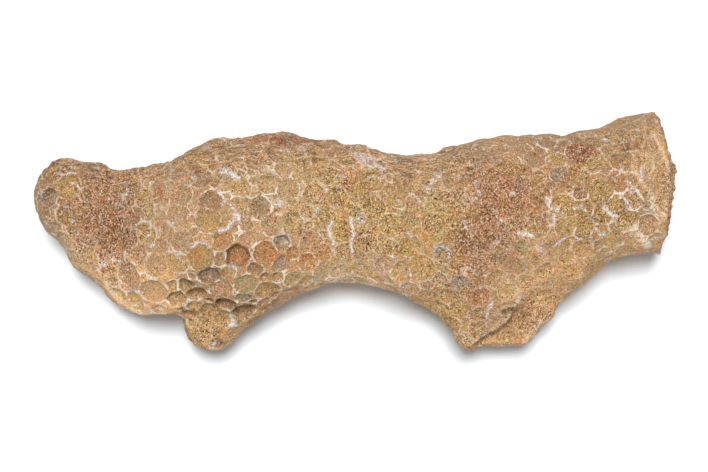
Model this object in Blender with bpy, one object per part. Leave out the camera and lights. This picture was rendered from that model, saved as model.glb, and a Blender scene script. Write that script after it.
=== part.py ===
"""A fossil tabulate coral: a stout trunk with a rounded tip, a broken end and the stumps of two side
branches, covered in calices. It lies on its worn underside.

Blender 4.5: blender --background --python part.py
Frame: metres, +X along the trunk towards its broken end, +Y away from the side branches, +Z up. The
origin is the middle of the bounding box, on the surface that the coral rests on.
"""

import math

import bmesh
import bpy
import numpy as np
from mathutils import Matrix, Vector

MM = 0.001

# ---------------------------------------------------------------------------------------------
# Driving dimensions, in millimetres
# ---------------------------------------------------------------------------------------------
TIP_X = -52.0  # the rounded tip
BREAK_X = 49.9  # where the trunk's sides meet the broken end
TIP_ROUNDING = 9.7  # the length over which the tip closes
SECTION_POWER = 2.25  # 2 is an ellipse, more is squarer
BLEND = 2.6  # how softly a branch grows out of the trunk

# The trunk's cross-section at stations along X: (x, top y, bottom y, lowest z, highest z).
STATIONS = (
    (-52.0, 13.2, -2.4, 3.2, 15.6),
    (-48.1, 12.8, -3.9, 2.2, 16.6),
    (-45.5, 12.1, -5.7, 1.2, 17.2),
    (-41.7, 11.2, -8.4, 0.6, 17.6),
    (-38.1, 9.6, -11.9, -0.2, 17.2),
    (-33.9, 9.8, -13.7, -0.8, 19.4),
    (-30.0, 11.1, -13.6, -0.9, 21.6),
    (-26.2, 12.6, -12.6, -0.6, 22.8),
    (-21.0, 14.5, -11.6, -0.2, 23.4),
    (-14.5, 15.4, -11.0, 0.3, 23.2),
    (-8.7, 15.3, -9.8, 0.7, 22.4),
    (-2.9, 14.1, -8.1, 0.9, 21.6),
    (2.3, 12.8, -8.7, 0.8, 21.2),
    (7.4, 12.5, -10.7, 0.6, 21.2),
    (12.6, 12.4, -12.0, 0.4, 21.8),
    (17.8, 13.8, -11.8, 0.1, 22.6),
    (22.9, 14.9, -11.1, -0.2, 23.2),
    (29.4, 14.9, -10.2, -0.5, 23.4),
    (35.8, 15.9, -8.6, -0.7, 23.0),
    (40.4, 16.9, -5.6, -0.8, 22.4),
    (44.9, 19.0, -4.7, -0.7, 21.8),
    (49.9, 19.4, -3.8, -0.2, 21.2),
)

# The stumps of the side branches, as tapering rounded cones: root (x, y, z, radius), tip (x, y, z, radius).
LEFT_STUB = (((-18.5, -4.0, 10.4, 11.5), (-23.3, -15.4, 8.2, 4.2)),)
RIGHT_STUB = (
    ((18.6, -4.6, 11.6, 9.4), (18.6, -16.4, 11.4, 2.9)),
    ((24.0, -4.0, 10.4, 9.4), (23.6, -15.4, 9.0, 3.2)),
    ((29.2, -3.6, 9.6, 9.7), (26.6, -14.6, 7.6, 3.8)),
)

# Where each stub parts from the trunk: the middle of the cut and the direction out along the branch, in
# plan, and the cut's width.
LEFT_CUT = ((-20.0, -11.8), (0.165, -1.0), 20.8)
RIGHT_CUT = ((25.6, -8.9), (0.204, -1.0), 32.0)
GAP = 0.3  # between the trunk and a stub

# The broken end: how far it leans back upwards and towards +Y, and how far its middle stands out.
BREAK_LEAN = 1.3
BREAK_SKEW = 0.55
BREAK_CROWN = 1.9

# Broad swellings and hollows: (x, y, z, radius, height).
SWELLINGS = (
    (-40.0, 1.5, 18.0, 6.5, -1.3),  # the hollow behind the tip
    (-27.0, 2.0, 22.0, 9.0, 0.9),  # the shoulder
    (-16.0, -7.0, 17.0, 7.0, -0.7),
    (2.0, 4.0, 21.0, 9.0, 0.5),
    (24.0, 5.0, 23.0, 8.0, 0.8),
    (36.0, -3.0, 21.0, 8.0, -0.5),
    (42.5, 12.6, 19.5, 1.6, -1.6),  # a borer's hole near the broken end
)
# Gentle lumps all over: (wave vector in turns per millimetre, phase, height).
LUMPS = (
    ((0.075, 0.031, 0.052), 0.3, 0.26),
    ((-0.042, 0.088, 0.061), 1.7, 0.24),
    ((0.118, -0.094, 0.037), 4.1, 0.18),
    ((0.051, 0.121, -0.133), 2.6, 0.15),
    ((0.171, 0.063, 0.102), 5.2, 0.11),
)

# The step in the right stub, where its front has split off: a line in plan, and the drop below it.
SPLIT_FROM = (18.0, -18.6)
SPLIT_TO = (31.6, -7.4)
SPLIT_DROP = 1.7
SPLIT_EDGE = 0.7  # the width of the step
SPLIT_FADE = 4.0  # the length over which it dies out

# The calices, the cups that the polyps lived in.
CALYX_PITCH = 2.9  # from one cup's middle to the next
CALYX_DEPTH = 0.95
CALYX_FLOOR = 0.45  # the share of that depth that a worn cup keeps
# Worn patches, where the cups are almost gone: (x, y, radius) in plan, on the upper side.
WORN = (
    (-41.0, 2.0, 6.5),
    (-27.0, 4.0, 7.0),
    (-4.0, 3.0, 9.0),
    (12.0, 4.0, 9.0),
    (27.0, 7.0, 7.0),
    (24.0, -14.0, 5.0),
)
UNDERSIDE_WEAR = 3.0  # the height below which the cups are worn away
SCATTER = 0.17  # how far a cup strays, as a share of its pitch
COLUMNS = 45  # vertices round the trunk, a multiple of 9
TIP_RINGS = ((0.3, 9), (1.3, 3))  # how far in from the tip, and one vertex to how many columns
BREAK_RINGS = ((0.8, 1), (0.52, 3), (0.24, 9))  # the share of the way out from the middle, and the same
BREAK_ROUGHNESS = 0.35
SEED = 7

ROCK_COLOUR = (0.47, 0.30, 0.165, 1.0)
ROCK_ROUGHNESS = 0.85


# ---------------------------------------------------------------------------------------------
# The body as a field: negative inside, positive outside, in millimetres
# ---------------------------------------------------------------------------------------------
def smooth_curve(at, xs, values):
    """A smooth curve through the stations: cubic, with each tangent along its neighbours' chord."""
    slopes = np.gradient(values, xs)
    i = np.clip(np.searchsorted(xs, at, side="right") - 1, 0, len(xs) - 2)
    width = xs[i + 1] - xs[i]
    t = np.clip((at - xs[i]) / width, 0.0, 1.0)
    start = (1 + 2 * t) * (1 - t) ** 2 * values[i] + t * (1 - t) ** 2 * width * slopes[i]
    end = t * t * (3 - 2 * t) * values[i + 1] - t * t * (1 - t) * width * slopes[i + 1]
    return start + end


def section(x):
    """The trunk's section at x: middle y, half height, middle z, half depth."""
    xs, top, bottom, low, high = np.array(STATIONS).T
    top, bottom, low, high = (smooth_curve(x, xs, v) for v in (top, bottom, low, high))
    closing = np.clip((TIP_X + TIP_ROUNDING - x) / TIP_ROUNDING, 0.0, 1.0)
    closed = np.sqrt(np.maximum(1.0 - closing**2, 1e-4))
    return (top + bottom) / 2, (top - bottom) / 2 * closed, (low + high) / 2, (high - low) / 2 * closed


def trunk_field(x, y, z):
    mid_y, half_y, mid_z, half_z = section(x)
    reach = (np.abs((y - mid_y) / half_y) ** SECTION_POWER + np.abs((z - mid_z) / half_z) ** SECTION_POWER)
    return (reach ** (1 / SECTION_POWER) - 1.0) * np.minimum(half_y, half_z)


def cone_field(x, y, z, root, tip):
    """The distance to a cone with round ends."""
    root, tip = np.array(root), np.array(tip)
    along = tip[:3] - root[:3]
    offset = np.stack([x - root[0], y - root[1], z - root[2]], axis=-1)
    t = np.clip(offset @ along / (along @ along), 0.0, 1.0)
    radius = root[3] + (tip[3] - root[3]) * t
    return np.linalg.norm(offset - t[..., None] * along, axis=-1) - radius


def soft_union(a, b):
    h = np.clip(0.5 + 0.5 * (b - a) / BLEND, 0.0, 1.0)
    return b * (1 - h) + a * h - BLEND * h * (1 - h)


def body_field(x, y, z):
    field = trunk_field(x, y, z)
    for root, tip in LEFT_STUB + RIGHT_STUB:
        field = soft_union(field, cone_field(x, y, z, root, tip))
    return field


def outward(points, step=0.05):
    """The field's direction of growth, which is the surface's normal."""
    x, y, z = points.T
    slope = [
        body_field(x + dx, y + dy, z + dz) - body_field(x - dx, y - dy, z - dz)
        for dx, dy, dz in np.eye(3) * step
    ]
    slope = np.stack(slope, axis=-1)
    return slope / np.linalg.norm(slope, axis=-1, keepdims=True)


# ---------------------------------------------------------------------------------------------
# Relief
# ---------------------------------------------------------------------------------------------
def smooth_step(t):
    t = np.clip(t, 0.0, 1.0)
    return t * t * (3 - 2 * t)


def swell(points):
    """The broad relief: the named swellings and hollows, and the lumps all over."""
    height = np.zeros(len(points))
    for cx, cy, cz, radius, rise in SWELLINGS:
        distance = np.linalg.norm(points - (cx, cy, cz), axis=1)
        height += rise * np.exp(-((distance / radius) ** 2))
    for wave, phase, rise in LUMPS:
        height += rise * np.sin(math.tau * (points @ np.array(wave)) + phase)
    return height


def split_drop(points):
    """How far the split front of the right stub lies below its surface."""
    start, end = np.array(SPLIT_FROM), np.array(SPLIT_TO)
    line = (end - start) / np.linalg.norm(end - start)
    offset = points[:, :2] - start
    along = offset @ line
    beyond = offset @ np.array((line[1], -line[0]))
    length = np.linalg.norm(end - start)
    fade = smooth_step((length - along) / SPLIT_FADE)
    upper_side = smooth_step((points[:, 2] - section(points[:, 0])[2] + 2.0) / 3.0)
    return SPLIT_DROP * smooth_step(beyond / SPLIT_EDGE) * fade * upper_side


def cup_depth(points, normals):
    """How deep a cup is at each point: less where the coral is worn."""
    kept = np.ones(len(points))
    for cx, cy, radius in WORN:
        distance = np.hypot(points[:, 0] - cx, points[:, 1] - cy)
        kept *= 1.0 - smooth_step(normals[:, 2] + 0.5) * np.exp(-((distance / radius) ** 4))
    kept *= smooth_step(points[:, 2] / UNDERSIDE_WEAR)
    return CALYX_DEPTH * (CALYX_FLOOR + (1 - CALYX_FLOOR) * kept)


# ---------------------------------------------------------------------------------------------
# The body's mesh: rings round the trunk, staggered so that each cup has six corners
# ---------------------------------------------------------------------------------------------
def ring_points(x, turns):
    """Points of the section at x, at these shares of the way round it, from the top through the front."""
    angle = np.linspace(0.0, math.tau, 361)
    dy, dz = np.cos(angle), np.sin(angle)
    mid_y, _, mid_z, _ = section(np.full_like(angle, x))
    near, far = np.zeros_like(angle), np.full_like(angle, 40.0)
    for _ in range(30):
        middle = (near + far) / 2
        inside = body_field(np.full_like(angle, x), mid_y + dy * middle, mid_z + dz * middle) < 0
        near, far = np.where(inside, middle, near), np.where(inside, far, middle)
    y, z = mid_y + dy * near, mid_z + dz * near
    run = np.concatenate([[0.0], np.cumsum(np.hypot(np.diff(y), np.diff(z)))])
    at = (turns % 1.0) * run[-1]
    return np.stack([np.full_like(at, x), np.interp(at, run, y), np.interp(at, run, z)], axis=-1)


def break_face(points):
    """The x of the broken end at these y and z: it leans, its middle stands out and it is uneven."""
    mid_y, half_y, mid_z, half_z = (float(v) for v in section(np.array(BREAK_X)))
    v, w = (points[:, 1] - mid_y) / half_y, (points[:, 2] - mid_z) / half_z
    uneven = BREAK_ROUGHNESS * (np.sin(5.1 * v + 3.2 * w + 0.4) + np.sin(3.7 * v - 5.9 * w + 2.0))
    within = 1.0 - np.clip(v * v + w * w, 0.0, 1.0)
    return BREAK_X + 1.0 - BREAK_LEAN * w - BREAK_SKEW * v - BREAK_CROWN * v * v + uneven * within


def trunk_ring(x, shifted, random):
    """One ring of the lattice, with its cups pressed in."""
    column = np.arange(COLUMNS)
    stray = random.uniform(-SCATTER, SCATTER, (2, COLUMNS))
    ring = ring_points(x, (column + 0.5 * (shifted % 2) + stray[0]) / COLUMNS)
    middle = (column - shifted // 2 - shifted) % 3 == 0
    near_break = smooth_step((x - BREAK_X + 12.0) / 12.0)
    ring[:, 0] += stray[1] * CALYX_PITCH / 2 * (1 - near_break) + (break_face(ring) - BREAK_X) * near_break
    normals = outward(ring)
    ring += normals * swell(ring)[:, None]
    narrow = smooth_step((x - TIP_X) / TIP_ROUNDING + 0.3)
    cups = cup_depth(ring, normals) * middle * narrow * smooth_step((BREAK_X - x) / 1.0)
    return ring - normals * cups[:, None]


def thinned(ring, step):
    """The ring with one vertex for each run of this many, midway along the run."""
    runs = ring.reshape(-1, step, 3)
    return runs.mean(axis=1)


def body_rings():
    """The rings of vertices from the tip to the middle of the broken end."""
    random = np.random.default_rng(SEED)
    first = TIP_X + 3.0
    count = int(round((BREAK_X - first) / (CALYX_PITCH / 2)))
    rings = []
    for inset, step in TIP_RINGS:
        turns = (np.arange(COLUMNS // step) * step + step / 2) / COLUMNS
        ring = ring_points(TIP_X + inset, turns)
        rings.append(ring + outward(ring) * swell(ring)[:, None])
    for i, x in enumerate(np.linspace(first, BREAK_X, count + 1)):
        rings.append(trunk_ring(x, i, random))
    edge = rings[-1]
    centre = edge.mean(axis=0)
    for share, step in BREAK_RINGS:
        ring = centre + (edge - centre) * share
        for _ in range(int(round(math.log(step, 3)))):
            ring = thinned(ring, 3)
        ring[:, 0] = break_face(ring)
        rings.append(ring)
    for ring in rings:
        ring[:, 2] -= split_drop(ring)
        ring[:, 2] = np.maximum(ring[:, 2], 0.0)
    return rings


def bridge(form, near, far, shifted):
    """Triangles between two rings: alike ones are staggered, or one has a third of the other's vertices."""
    if len(near) < len(far):
        near, far = far, near
    count, ratio = len(far), len(near) // len(far)
    for j in range(len(near)):
        k = (j + 1) % len(near)
        if ratio == 3:
            form.faces.new((near[j], near[k], far[j // 3]))
            if j % 3 == 2:
                form.faces.new((near[k], far[(j // 3 + 1) % count], far[j // 3]))
        elif shifted:
            form.faces.new((near[j], near[k], far[k]))
            form.faces.new((near[j], far[k], far[j]))
        else:
            form.faces.new((near[j], near[k], far[j]))
            form.faces.new((near[k], far[k], far[j]))


def body_mesh():
    """The whole coral as one closed mesh, lofted through the rings."""
    form = bmesh.new()
    loops = [[form.verts.new(Vector(p) * MM) for p in ring] for ring in body_rings()]
    for i, (near, far) in enumerate(zip(loops, loops[1:])):
        bridge(form, near, far, (i - len(TIP_RINGS)) % 2)
    for loop in (loops[0], loops[-1]):
        middle = form.verts.new(sum((v.co for v in loop), Vector()) / len(loop))
        for j in range(len(loop)):
            form.faces.new((loop[j], loop[(j + 1) % len(loop)], middle))
    bmesh.ops.recalc_face_normals(form, faces=form.faces)
    mesh = bpy.data.meshes.new("coral_body")
    form.to_mesh(mesh)
    form.free()
    mesh.transform(Matrix.Translation(-rest_centre(mesh)))
    return mesh


def rest_centre(mesh):
    """The middle of the mesh's box, at its foot."""
    places = np.array([v.co for v in mesh.vertices])
    low, high = places.min(axis=0), places.max(axis=0)
    return Vector(((low[0] + high[0]) / 2, (low[1] + high[1]) / 2, low[2]))


# ---------------------------------------------------------------------------------------------
# The pieces
# ---------------------------------------------------------------------------------------------
def rock_material():
    material = bpy.data.materials.new("fossil_limestone")
    material.use_nodes = True
    shader = material.node_tree.nodes["Principled BSDF"]
    shader.inputs["Base Color"].default_value = ROCK_COLOUR
    shader.inputs["Roughness"].default_value = ROCK_ROUGHNESS
    shader.inputs["Metallic"].default_value = 0.0
    return material


def collection_named(name):
    collection = bpy.data.collections.new(name)
    bpy.context.scene.collection.children.link(collection)
    return collection


def cutter_beyond(name, cut, back, collection):
    """A block that holds all of the branch beyond its cut, starting this far back along the branch."""
    (x, y), direction, width = cut
    out = Vector((*direction, 0.0)).normalized()
    size = Vector((width, 30.0, 80.0)) * MM
    form = bmesh.new()
    bmesh.ops.create_cube(form, size=1.0)
    bmesh.ops.scale(form, vec=size, verts=form.verts)
    mesh = bpy.data.meshes.new(name)
    form.to_mesh(mesh)
    form.free()
    cutter = bpy.data.objects.new(name, mesh)
    cutter.rotation_euler.z = math.atan2(out.y, out.x) + math.pi / 2
    cutter.location = Vector((x, y, 0.0)) * MM + out * (size.y / 2 - back * MM)
    cutter.hide_render = True
    cutter.display_type = "WIRE"
    collection.objects.link(cutter)
    return cutter


def piece(name, mesh, material, cuts, collection):
    """One node: the body's mesh, cut by the blocks named with INTERSECT or DIFFERENCE."""
    made = bpy.data.objects.new(name, mesh.copy())
    made.data.materials.append(material)
    collection.objects.link(made)
    for cutter, operation in cuts:
        boolean = made.modifiers.new(cutter.name, "BOOLEAN")
        boolean.operation = operation
        boolean.object = cutter
    return made


def main():
    for obj in list(bpy.data.objects):
        bpy.data.objects.remove(obj, do_unlink=True)
    coral = collection_named("fossil_coral")
    cutters = collection_named("cutters")
    material = rock_material()
    body = body_mesh()
    stubs = (("left_branch_stub", LEFT_CUT), ("right_branch_stub", RIGHT_CUT))
    outer = [(cutter_beyond(f"trunk_end_at_{name}", cut, GAP / 2, cutters), "DIFFERENCE") for name, cut in stubs]
    piece("trunk", body, material, outer, coral)
    for name, cut in stubs:
        keep = cutter_beyond(f"reach_of_{name}", cut, -GAP / 2, cutters)
        piece(name, body, material, [(keep, "INTERSECT")], coral)


main()
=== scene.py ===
"""A weathered fossil coral branch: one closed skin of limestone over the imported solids.

The skin is a grid of points worked out with numpy. Its base is the same form as the solids: sections of a
trunk along X, with tapering cones for the stumps of the side branches. Cups, rims, pores, ledges and breaks
are then pressed into it along its normals, and the same measures go to the material as attributes. Lengths
are in millimetres until a mesh is made.
"""

from __future__ import annotations

import logging
import math
from dataclasses import dataclass
from enum import Enum

import bpy
import numpy as np
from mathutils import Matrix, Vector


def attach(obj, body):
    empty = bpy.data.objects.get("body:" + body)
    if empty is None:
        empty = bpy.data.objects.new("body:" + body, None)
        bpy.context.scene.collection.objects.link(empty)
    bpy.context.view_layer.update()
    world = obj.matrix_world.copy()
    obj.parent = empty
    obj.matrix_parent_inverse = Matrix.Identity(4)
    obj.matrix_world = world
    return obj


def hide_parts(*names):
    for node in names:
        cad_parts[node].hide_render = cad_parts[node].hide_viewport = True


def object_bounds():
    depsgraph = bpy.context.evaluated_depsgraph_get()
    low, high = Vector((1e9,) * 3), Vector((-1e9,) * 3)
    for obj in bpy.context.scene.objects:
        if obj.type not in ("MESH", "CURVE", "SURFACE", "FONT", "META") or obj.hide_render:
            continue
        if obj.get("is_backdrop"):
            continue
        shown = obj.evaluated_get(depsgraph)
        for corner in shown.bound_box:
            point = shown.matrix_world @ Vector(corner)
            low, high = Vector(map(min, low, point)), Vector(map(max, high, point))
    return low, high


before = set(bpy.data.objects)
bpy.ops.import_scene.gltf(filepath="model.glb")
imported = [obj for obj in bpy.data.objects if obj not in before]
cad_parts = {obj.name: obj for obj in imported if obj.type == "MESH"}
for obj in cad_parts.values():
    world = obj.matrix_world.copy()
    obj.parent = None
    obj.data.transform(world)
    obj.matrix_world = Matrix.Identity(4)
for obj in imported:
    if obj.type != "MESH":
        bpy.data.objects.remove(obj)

LOG = logging.getLogger("fossil_coral")
MM = 0.001
Array = np.ndarray
NODES = ("trunk", "left_branch_stub", "right_branch_stub")


# =============================================================================================
# Numbers that vary smoothly
# =============================================================================================
def smooth_step(t: Array) -> Array:
    """Rise from 0 to 1 with level ends: 3t^2 - 2t^3, held outside 0 to 1.

    Args:
        t: The share of the way up.

    Returns:
        The height at each t.
    """
    t = np.clip(t, 0.0, 1.0)
    return t * t * (3 - 2 * t)


def smooth_curve(at: Array, xs: Array, values: Array) -> Array:
    """Pass a smooth curve through stations: a cubic in each gap, with tangents along the neighbours' chord.

    Args:
        at: Where the curve is wanted.
        xs: The stations' places, rising.
        values: The curve's value at each station.

    Returns:
        The curve's value at each place.
    """
    slopes = np.gradient(values, xs)
    i = np.clip(np.searchsorted(xs, at, side="right") - 1, 0, len(xs) - 2)
    width = xs[i + 1] - xs[i]
    t = np.clip((at - xs[i]) / width, 0.0, 1.0)
    start = (1 + 2 * t) * (1 - t) ** 2 * values[i] + t * (1 - t) ** 2 * width * slopes[i]
    end = t * t * (3 - 2 * t) * values[i + 1] - t * t * (1 - t) * width * slopes[i + 1]
    return start + end


def to_linear(red: int, green: int, blue: int) -> tuple[float, float, float]:
    """Turn a display colour, 0 to 255 a channel, into the linear light that a shader works in."""
    shares = (c / 255 for c in (red, green, blue))
    return tuple(c / 12.92 if c <= 0.04045 else ((c + 0.055) / 1.055) ** 2.4 for c in shares)


@dataclass(frozen=True)
class Grain:
    """Smooth random numbers in space: gradient noise on a repeating lattice.

    Attributes:
        seed: Chooses the lattice's random gradients.
        lattice: The number of cells after which the pattern repeats.
        gain: What brings the sum to about -1 to 1.
        shift: How many cells each octave is moved from the one before.
    """

    seed: int
    lattice: int = 32
    gain: float = 1.6
    shift: float = 17.3

    def at(self, points: Array, size: float, octaves: int = 1, stretch: tuple = (1.0, 1.0, 1.0)) -> Array:
        """Sum octaves of noise, each half as large and half as high as the one before.

        In a cell the noise is the eight corners' gradients, each dotted with the way from that corner and
        blended by 6t^5 - 15t^4 + 10t^3 along each axis.

        Args:
            points: Places, in millimetres, as rows of x, y and z.
            size: The cell of the coarsest octave.
            octaves: How many octaves are summed.
            stretch: How many times longer the cell is along each axis.

        Returns:
            One number for each place, about -1 to 1.
        """
        count = self.lattice
        gradients = np.random.default_rng(self.seed).normal(size=(count, count, count, 3))
        gradients /= np.linalg.norm(gradients, axis=-1, keepdims=True)
        total = np.zeros(len(points))
        for octave in range(octaves):
            place = points / (np.array(stretch) * size / 2**octave) + self.shift * octave
            cell = np.floor(place).astype(int)
            inside = place - cell
            blend = inside**3 * (inside * (6 * inside - 15) + 10)
            for corner in np.ndindex(2, 2, 2):
                near = np.array(corner)
                i, j, k = ((cell + near) % count).T
                weight = np.prod(np.where(near, blend, 1 - blend), axis=1)
                toward = np.einsum("ij,ij->i", gradients[i, j, k], inside - near)
                total += weight * toward * self.gain / 2**octave
        return total


@dataclass(frozen=True)
class Layer:
    """One layer of grain: its seed, its coarsest octave's size, its octaves, height and stretch."""

    seed: int
    size: float
    octaves: int = 1
    height: float = 1.0
    stretch: tuple[float, float, float] = (1.0, 1.0, 1.0)

    def at(self, points: Array) -> Array:
        """Give the layer's height at each place."""
        return self.height * Grain(self.seed).at(points, self.size, self.octaves, self.stretch)


# =============================================================================================
# The form: trunk, stumps and broken end
# =============================================================================================
@dataclass(frozen=True)
class RoundedCone:
    """A cone with round ends, given by a ball at each end."""

    root: tuple[float, float, float]
    root_radius: float
    tip: tuple[float, float, float]
    tip_radius: float

    def distance(self, x: Array, y: Array, z: Array) -> Array:
        """Measure from the nearest point of the axis, less the radius there, which changes evenly."""
        root = np.array(self.root)
        along = np.array(self.tip) - root
        offset = np.stack([x, y, z], axis=-1) - root
        t = np.clip(offset @ along / (along @ along), 0.0, 1.0)
        radius = self.root_radius + (self.tip_radius - self.root_radius) * t
        return np.linalg.norm(offset - t[..., None] * along, axis=-1) - radius


@dataclass(frozen=True)
class Swelling:
    """A broad swelling, or a hollow where its rise is negative."""

    place: tuple[float, float, float]
    radius: float
    rise: float

    def height(self, points: Array) -> Array:
        """Rise as a bell curve of the distance from the middle."""
        distance = np.linalg.norm(points - self.place, axis=1)
        return self.rise * np.exp(-((distance / self.radius) ** 2))


@dataclass(frozen=True)
class Lump:
    """One gentle wave of the surface, along a direction in space."""

    turns_per_mm: tuple[float, float, float]
    phase: float
    rise: float

    def height(self, points: Array) -> Array:
        """Rise as a sine of the distance along the wave's direction."""
        return self.rise * np.sin(math.tau * (points @ np.array(self.turns_per_mm)) + self.phase)


@dataclass(frozen=True)
class CoralForm:
    """The coral's broad shape, as the solids have it, in the frame before it is centred.

    Attributes:
        tip_x: The rounded tip.
        break_x: Where the trunk's sides meet the broken end.
        tip_rounding: The length over which the tip closes.
        least_closing: What the tip's section never falls below, as the square of its share.
        section_power: 2 makes the section an ellipse, more makes it squarer.
        blend: How softly a branch grows out of the trunk.
        break_lean: How far the broken end leans back upwards.
        break_skew: How far it leans back towards +Y.
        break_crown: How far its middle stands out.
        break_stand: How far all of it stands out.
        break_reach: The length of the trunk that follows its lean.
        normal_step: The step of the differences that give the normals.
        rays: The rays that feel for the surface in each section.
        ray_length: How far they reach.
        halvings: How often the search along a ray halves.
        origin: Where the part's own origin lies in this frame.
        stations: The trunk's section along X: x, top y, bottom y, lowest z, highest z.
        cones: The stumps: the left one, and the right one in three.
        swellings: Broad swellings and hollows.
        lumps: Gentle waves all over.
    """

    tip_x: float = -52.0
    break_x: float = 49.9
    tip_rounding: float = 9.7
    least_closing: float = 1e-4
    section_power: float = 2.25
    blend: float = 3.2
    break_lean: float = 1.3
    break_skew: float = 0.6
    break_crown: float = 2.4
    break_stand: float = 1.35
    break_reach: float = 12.0
    normal_step: float = 0.05
    rays: int = 289
    ray_length: float = 40.0
    halvings: int = 24
    origin: tuple[float, float, float] = (0.149, -0.284, 0.0)
    stations: tuple = (
        (-52.0, 13.2, -2.4, 3.2, 15.6),
        (-48.1, 12.8, -3.9, 2.2, 16.6),
        (-45.5, 12.1, -5.7, 1.2, 17.2),
        (-41.7, 11.2, -8.4, 0.6, 17.6),
        (-38.1, 9.6, -11.9, -0.2, 17.2),
        (-33.9, 9.8, -13.7, -0.8, 19.4),
        (-30.0, 11.1, -13.6, -0.9, 21.6),
        (-26.2, 12.6, -12.6, -0.6, 22.8),
        (-21.0, 14.5, -11.6, -0.2, 23.4),
        (-14.5, 15.4, -11.0, 0.3, 23.2),
        (-8.7, 15.3, -9.8, 0.7, 22.4),
        (-2.9, 14.1, -8.1, 0.9, 21.6),
        (2.3, 12.8, -8.7, 0.8, 21.2),
        (7.4, 12.5, -10.7, 0.6, 21.2),
        (12.6, 12.4, -12.0, 0.4, 21.8),
        (17.8, 13.8, -11.8, 0.1, 22.6),
        (22.9, 14.9, -11.1, -0.2, 23.2),
        (29.4, 14.9, -10.2, -0.5, 23.4),
        (35.8, 15.9, -8.6, -0.7, 23.0),
        (40.4, 16.6, -5.6, -0.8, 22.4),
        (44.9, 18.5, -4.5, -0.7, 21.8),
        (49.9, 19.8, -3.4, -0.2, 21.2),
    )
    cones: tuple[RoundedCone, ...] = (
        RoundedCone((-18.5, -4.0, 10.4), 11.5, (-23.3, -15.4, 8.2), 4.2),
        RoundedCone((18.6, -4.6, 11.6), 9.4, (18.6, -16.4, 11.4), 2.9),
        RoundedCone((24.0, -4.0, 10.4), 9.4, (23.6, -15.4, 9.0), 3.2),
        RoundedCone((29.2, -3.6, 9.6), 9.7, (26.6, -14.6, 7.6), 3.8),
    )
    swellings: tuple[Swelling, ...] = (
        Swelling((-40.0, 1.5, 18.0), 6.5, -1.3),
        Swelling((-27.0, 2.0, 22.0), 9.0, 0.9),
        Swelling((-16.0, -7.0, 17.0), 7.0, -0.7),
        Swelling((2.0, 4.0, 21.0), 9.0, 0.5),
        Swelling((24.0, 5.0, 23.0), 8.0, 0.8),
        Swelling((36.0, -3.0, 21.0), 8.0, -0.5),
        Swelling((42.5, 12.6, 19.5), 1.6, -1.6),
    )
    lumps: tuple[Lump, ...] = (
        Lump((0.075, 0.031, 0.052), 0.3, 0.26),
        Lump((-0.042, 0.088, 0.061), 1.7, 0.24),
        Lump((0.118, -0.094, 0.037), 4.1, 0.18),
        Lump((0.051, 0.121, -0.133), 2.6, 0.15),
        Lump((0.171, 0.063, 0.102), 5.2, 0.11),
    )

    def section(self, x: Array) -> tuple[Array, Array, Array, Array]:
        """Find the trunk's section: the tip closes as a quarter of an ellipse.

        Args:
            x: Places along the trunk.

        Returns:
            The section's middle y, half height, middle z and half depth.
        """
        xs, top, bottom, low, high = np.array(self.stations).T
        top, bottom, low, high = (smooth_curve(x, xs, v) for v in (top, bottom, low, high))
        closing = np.clip((self.tip_x + self.tip_rounding - x) / self.tip_rounding, 0.0, 1.0)
        closed = np.sqrt(np.maximum(1.0 - closing**2, self.least_closing))
        half_y, half_z = (top - bottom) / 2 * closed, (high - low) / 2 * closed
        return (top + bottom) / 2, half_y, (low + high) / 2, half_z

    def field(self, x: Array, y: Array, z: Array) -> Array:
        """Measure how far a place is outside the coral, or inside where negative.

        The trunk is |v|^n + |w|^n = 1 in each section, v and w being shares of its half height and half
        depth. Each cone joins it by a smooth minimum, so the two melt together over the blend's length.

        Args:
            x: Places along the trunk.
            y: Places across it.
            z: Heights.

        Returns:
            Roughly the distance to the surface.
        """
        mid_y, half_y, mid_z, half_z = self.section(x)
        power = self.section_power
        reach = np.abs((y - mid_y) / half_y) ** power + np.abs((z - mid_z) / half_z) ** power
        near = (reach ** (1 / power) - 1.0) * np.minimum(half_y, half_z)
        for cone in self.cones:
            other = cone.distance(x, y, z)
            share = np.clip(0.5 + 0.5 * (other - near) / self.blend, 0.0, 1.0)
            near = other * (1 - share) + near * share - self.blend * share * (1 - share)
        return near

    def outward(self, points: Array) -> Array:
        """Find the normals, along the field's growth by central differences."""
        x, y, z = points.T
        steps = np.eye(3) * self.normal_step
        growth = [self.field(x + a, y + b, z + c) - self.field(x - a, y - b, z - c) for a, b, c in steps]
        slope = np.stack(growth, axis=-1)
        return slope / np.linalg.norm(slope, axis=-1, keepdims=True)

    def break_face(self, y: Array, z: Array) -> Array:
        """Find the x of the broken end: it leans back up and towards +Y, and its middle stands out."""
        mid_y, half_y, mid_z, half_z = (float(v) for v in self.section(np.array(self.break_x)))
        v, w = (y - mid_y) / half_y, (z - mid_z) / half_z
        leaning = self.break_x + self.break_stand - self.break_lean * w - self.break_skew * v
        return leaning - self.break_crown * v * v

    def swell(self, points: Array) -> Array:
        """Sum the swellings, hollows and lumps at each place."""
        return sum(part.height(points) for part in self.swellings + self.lumps)

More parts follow.
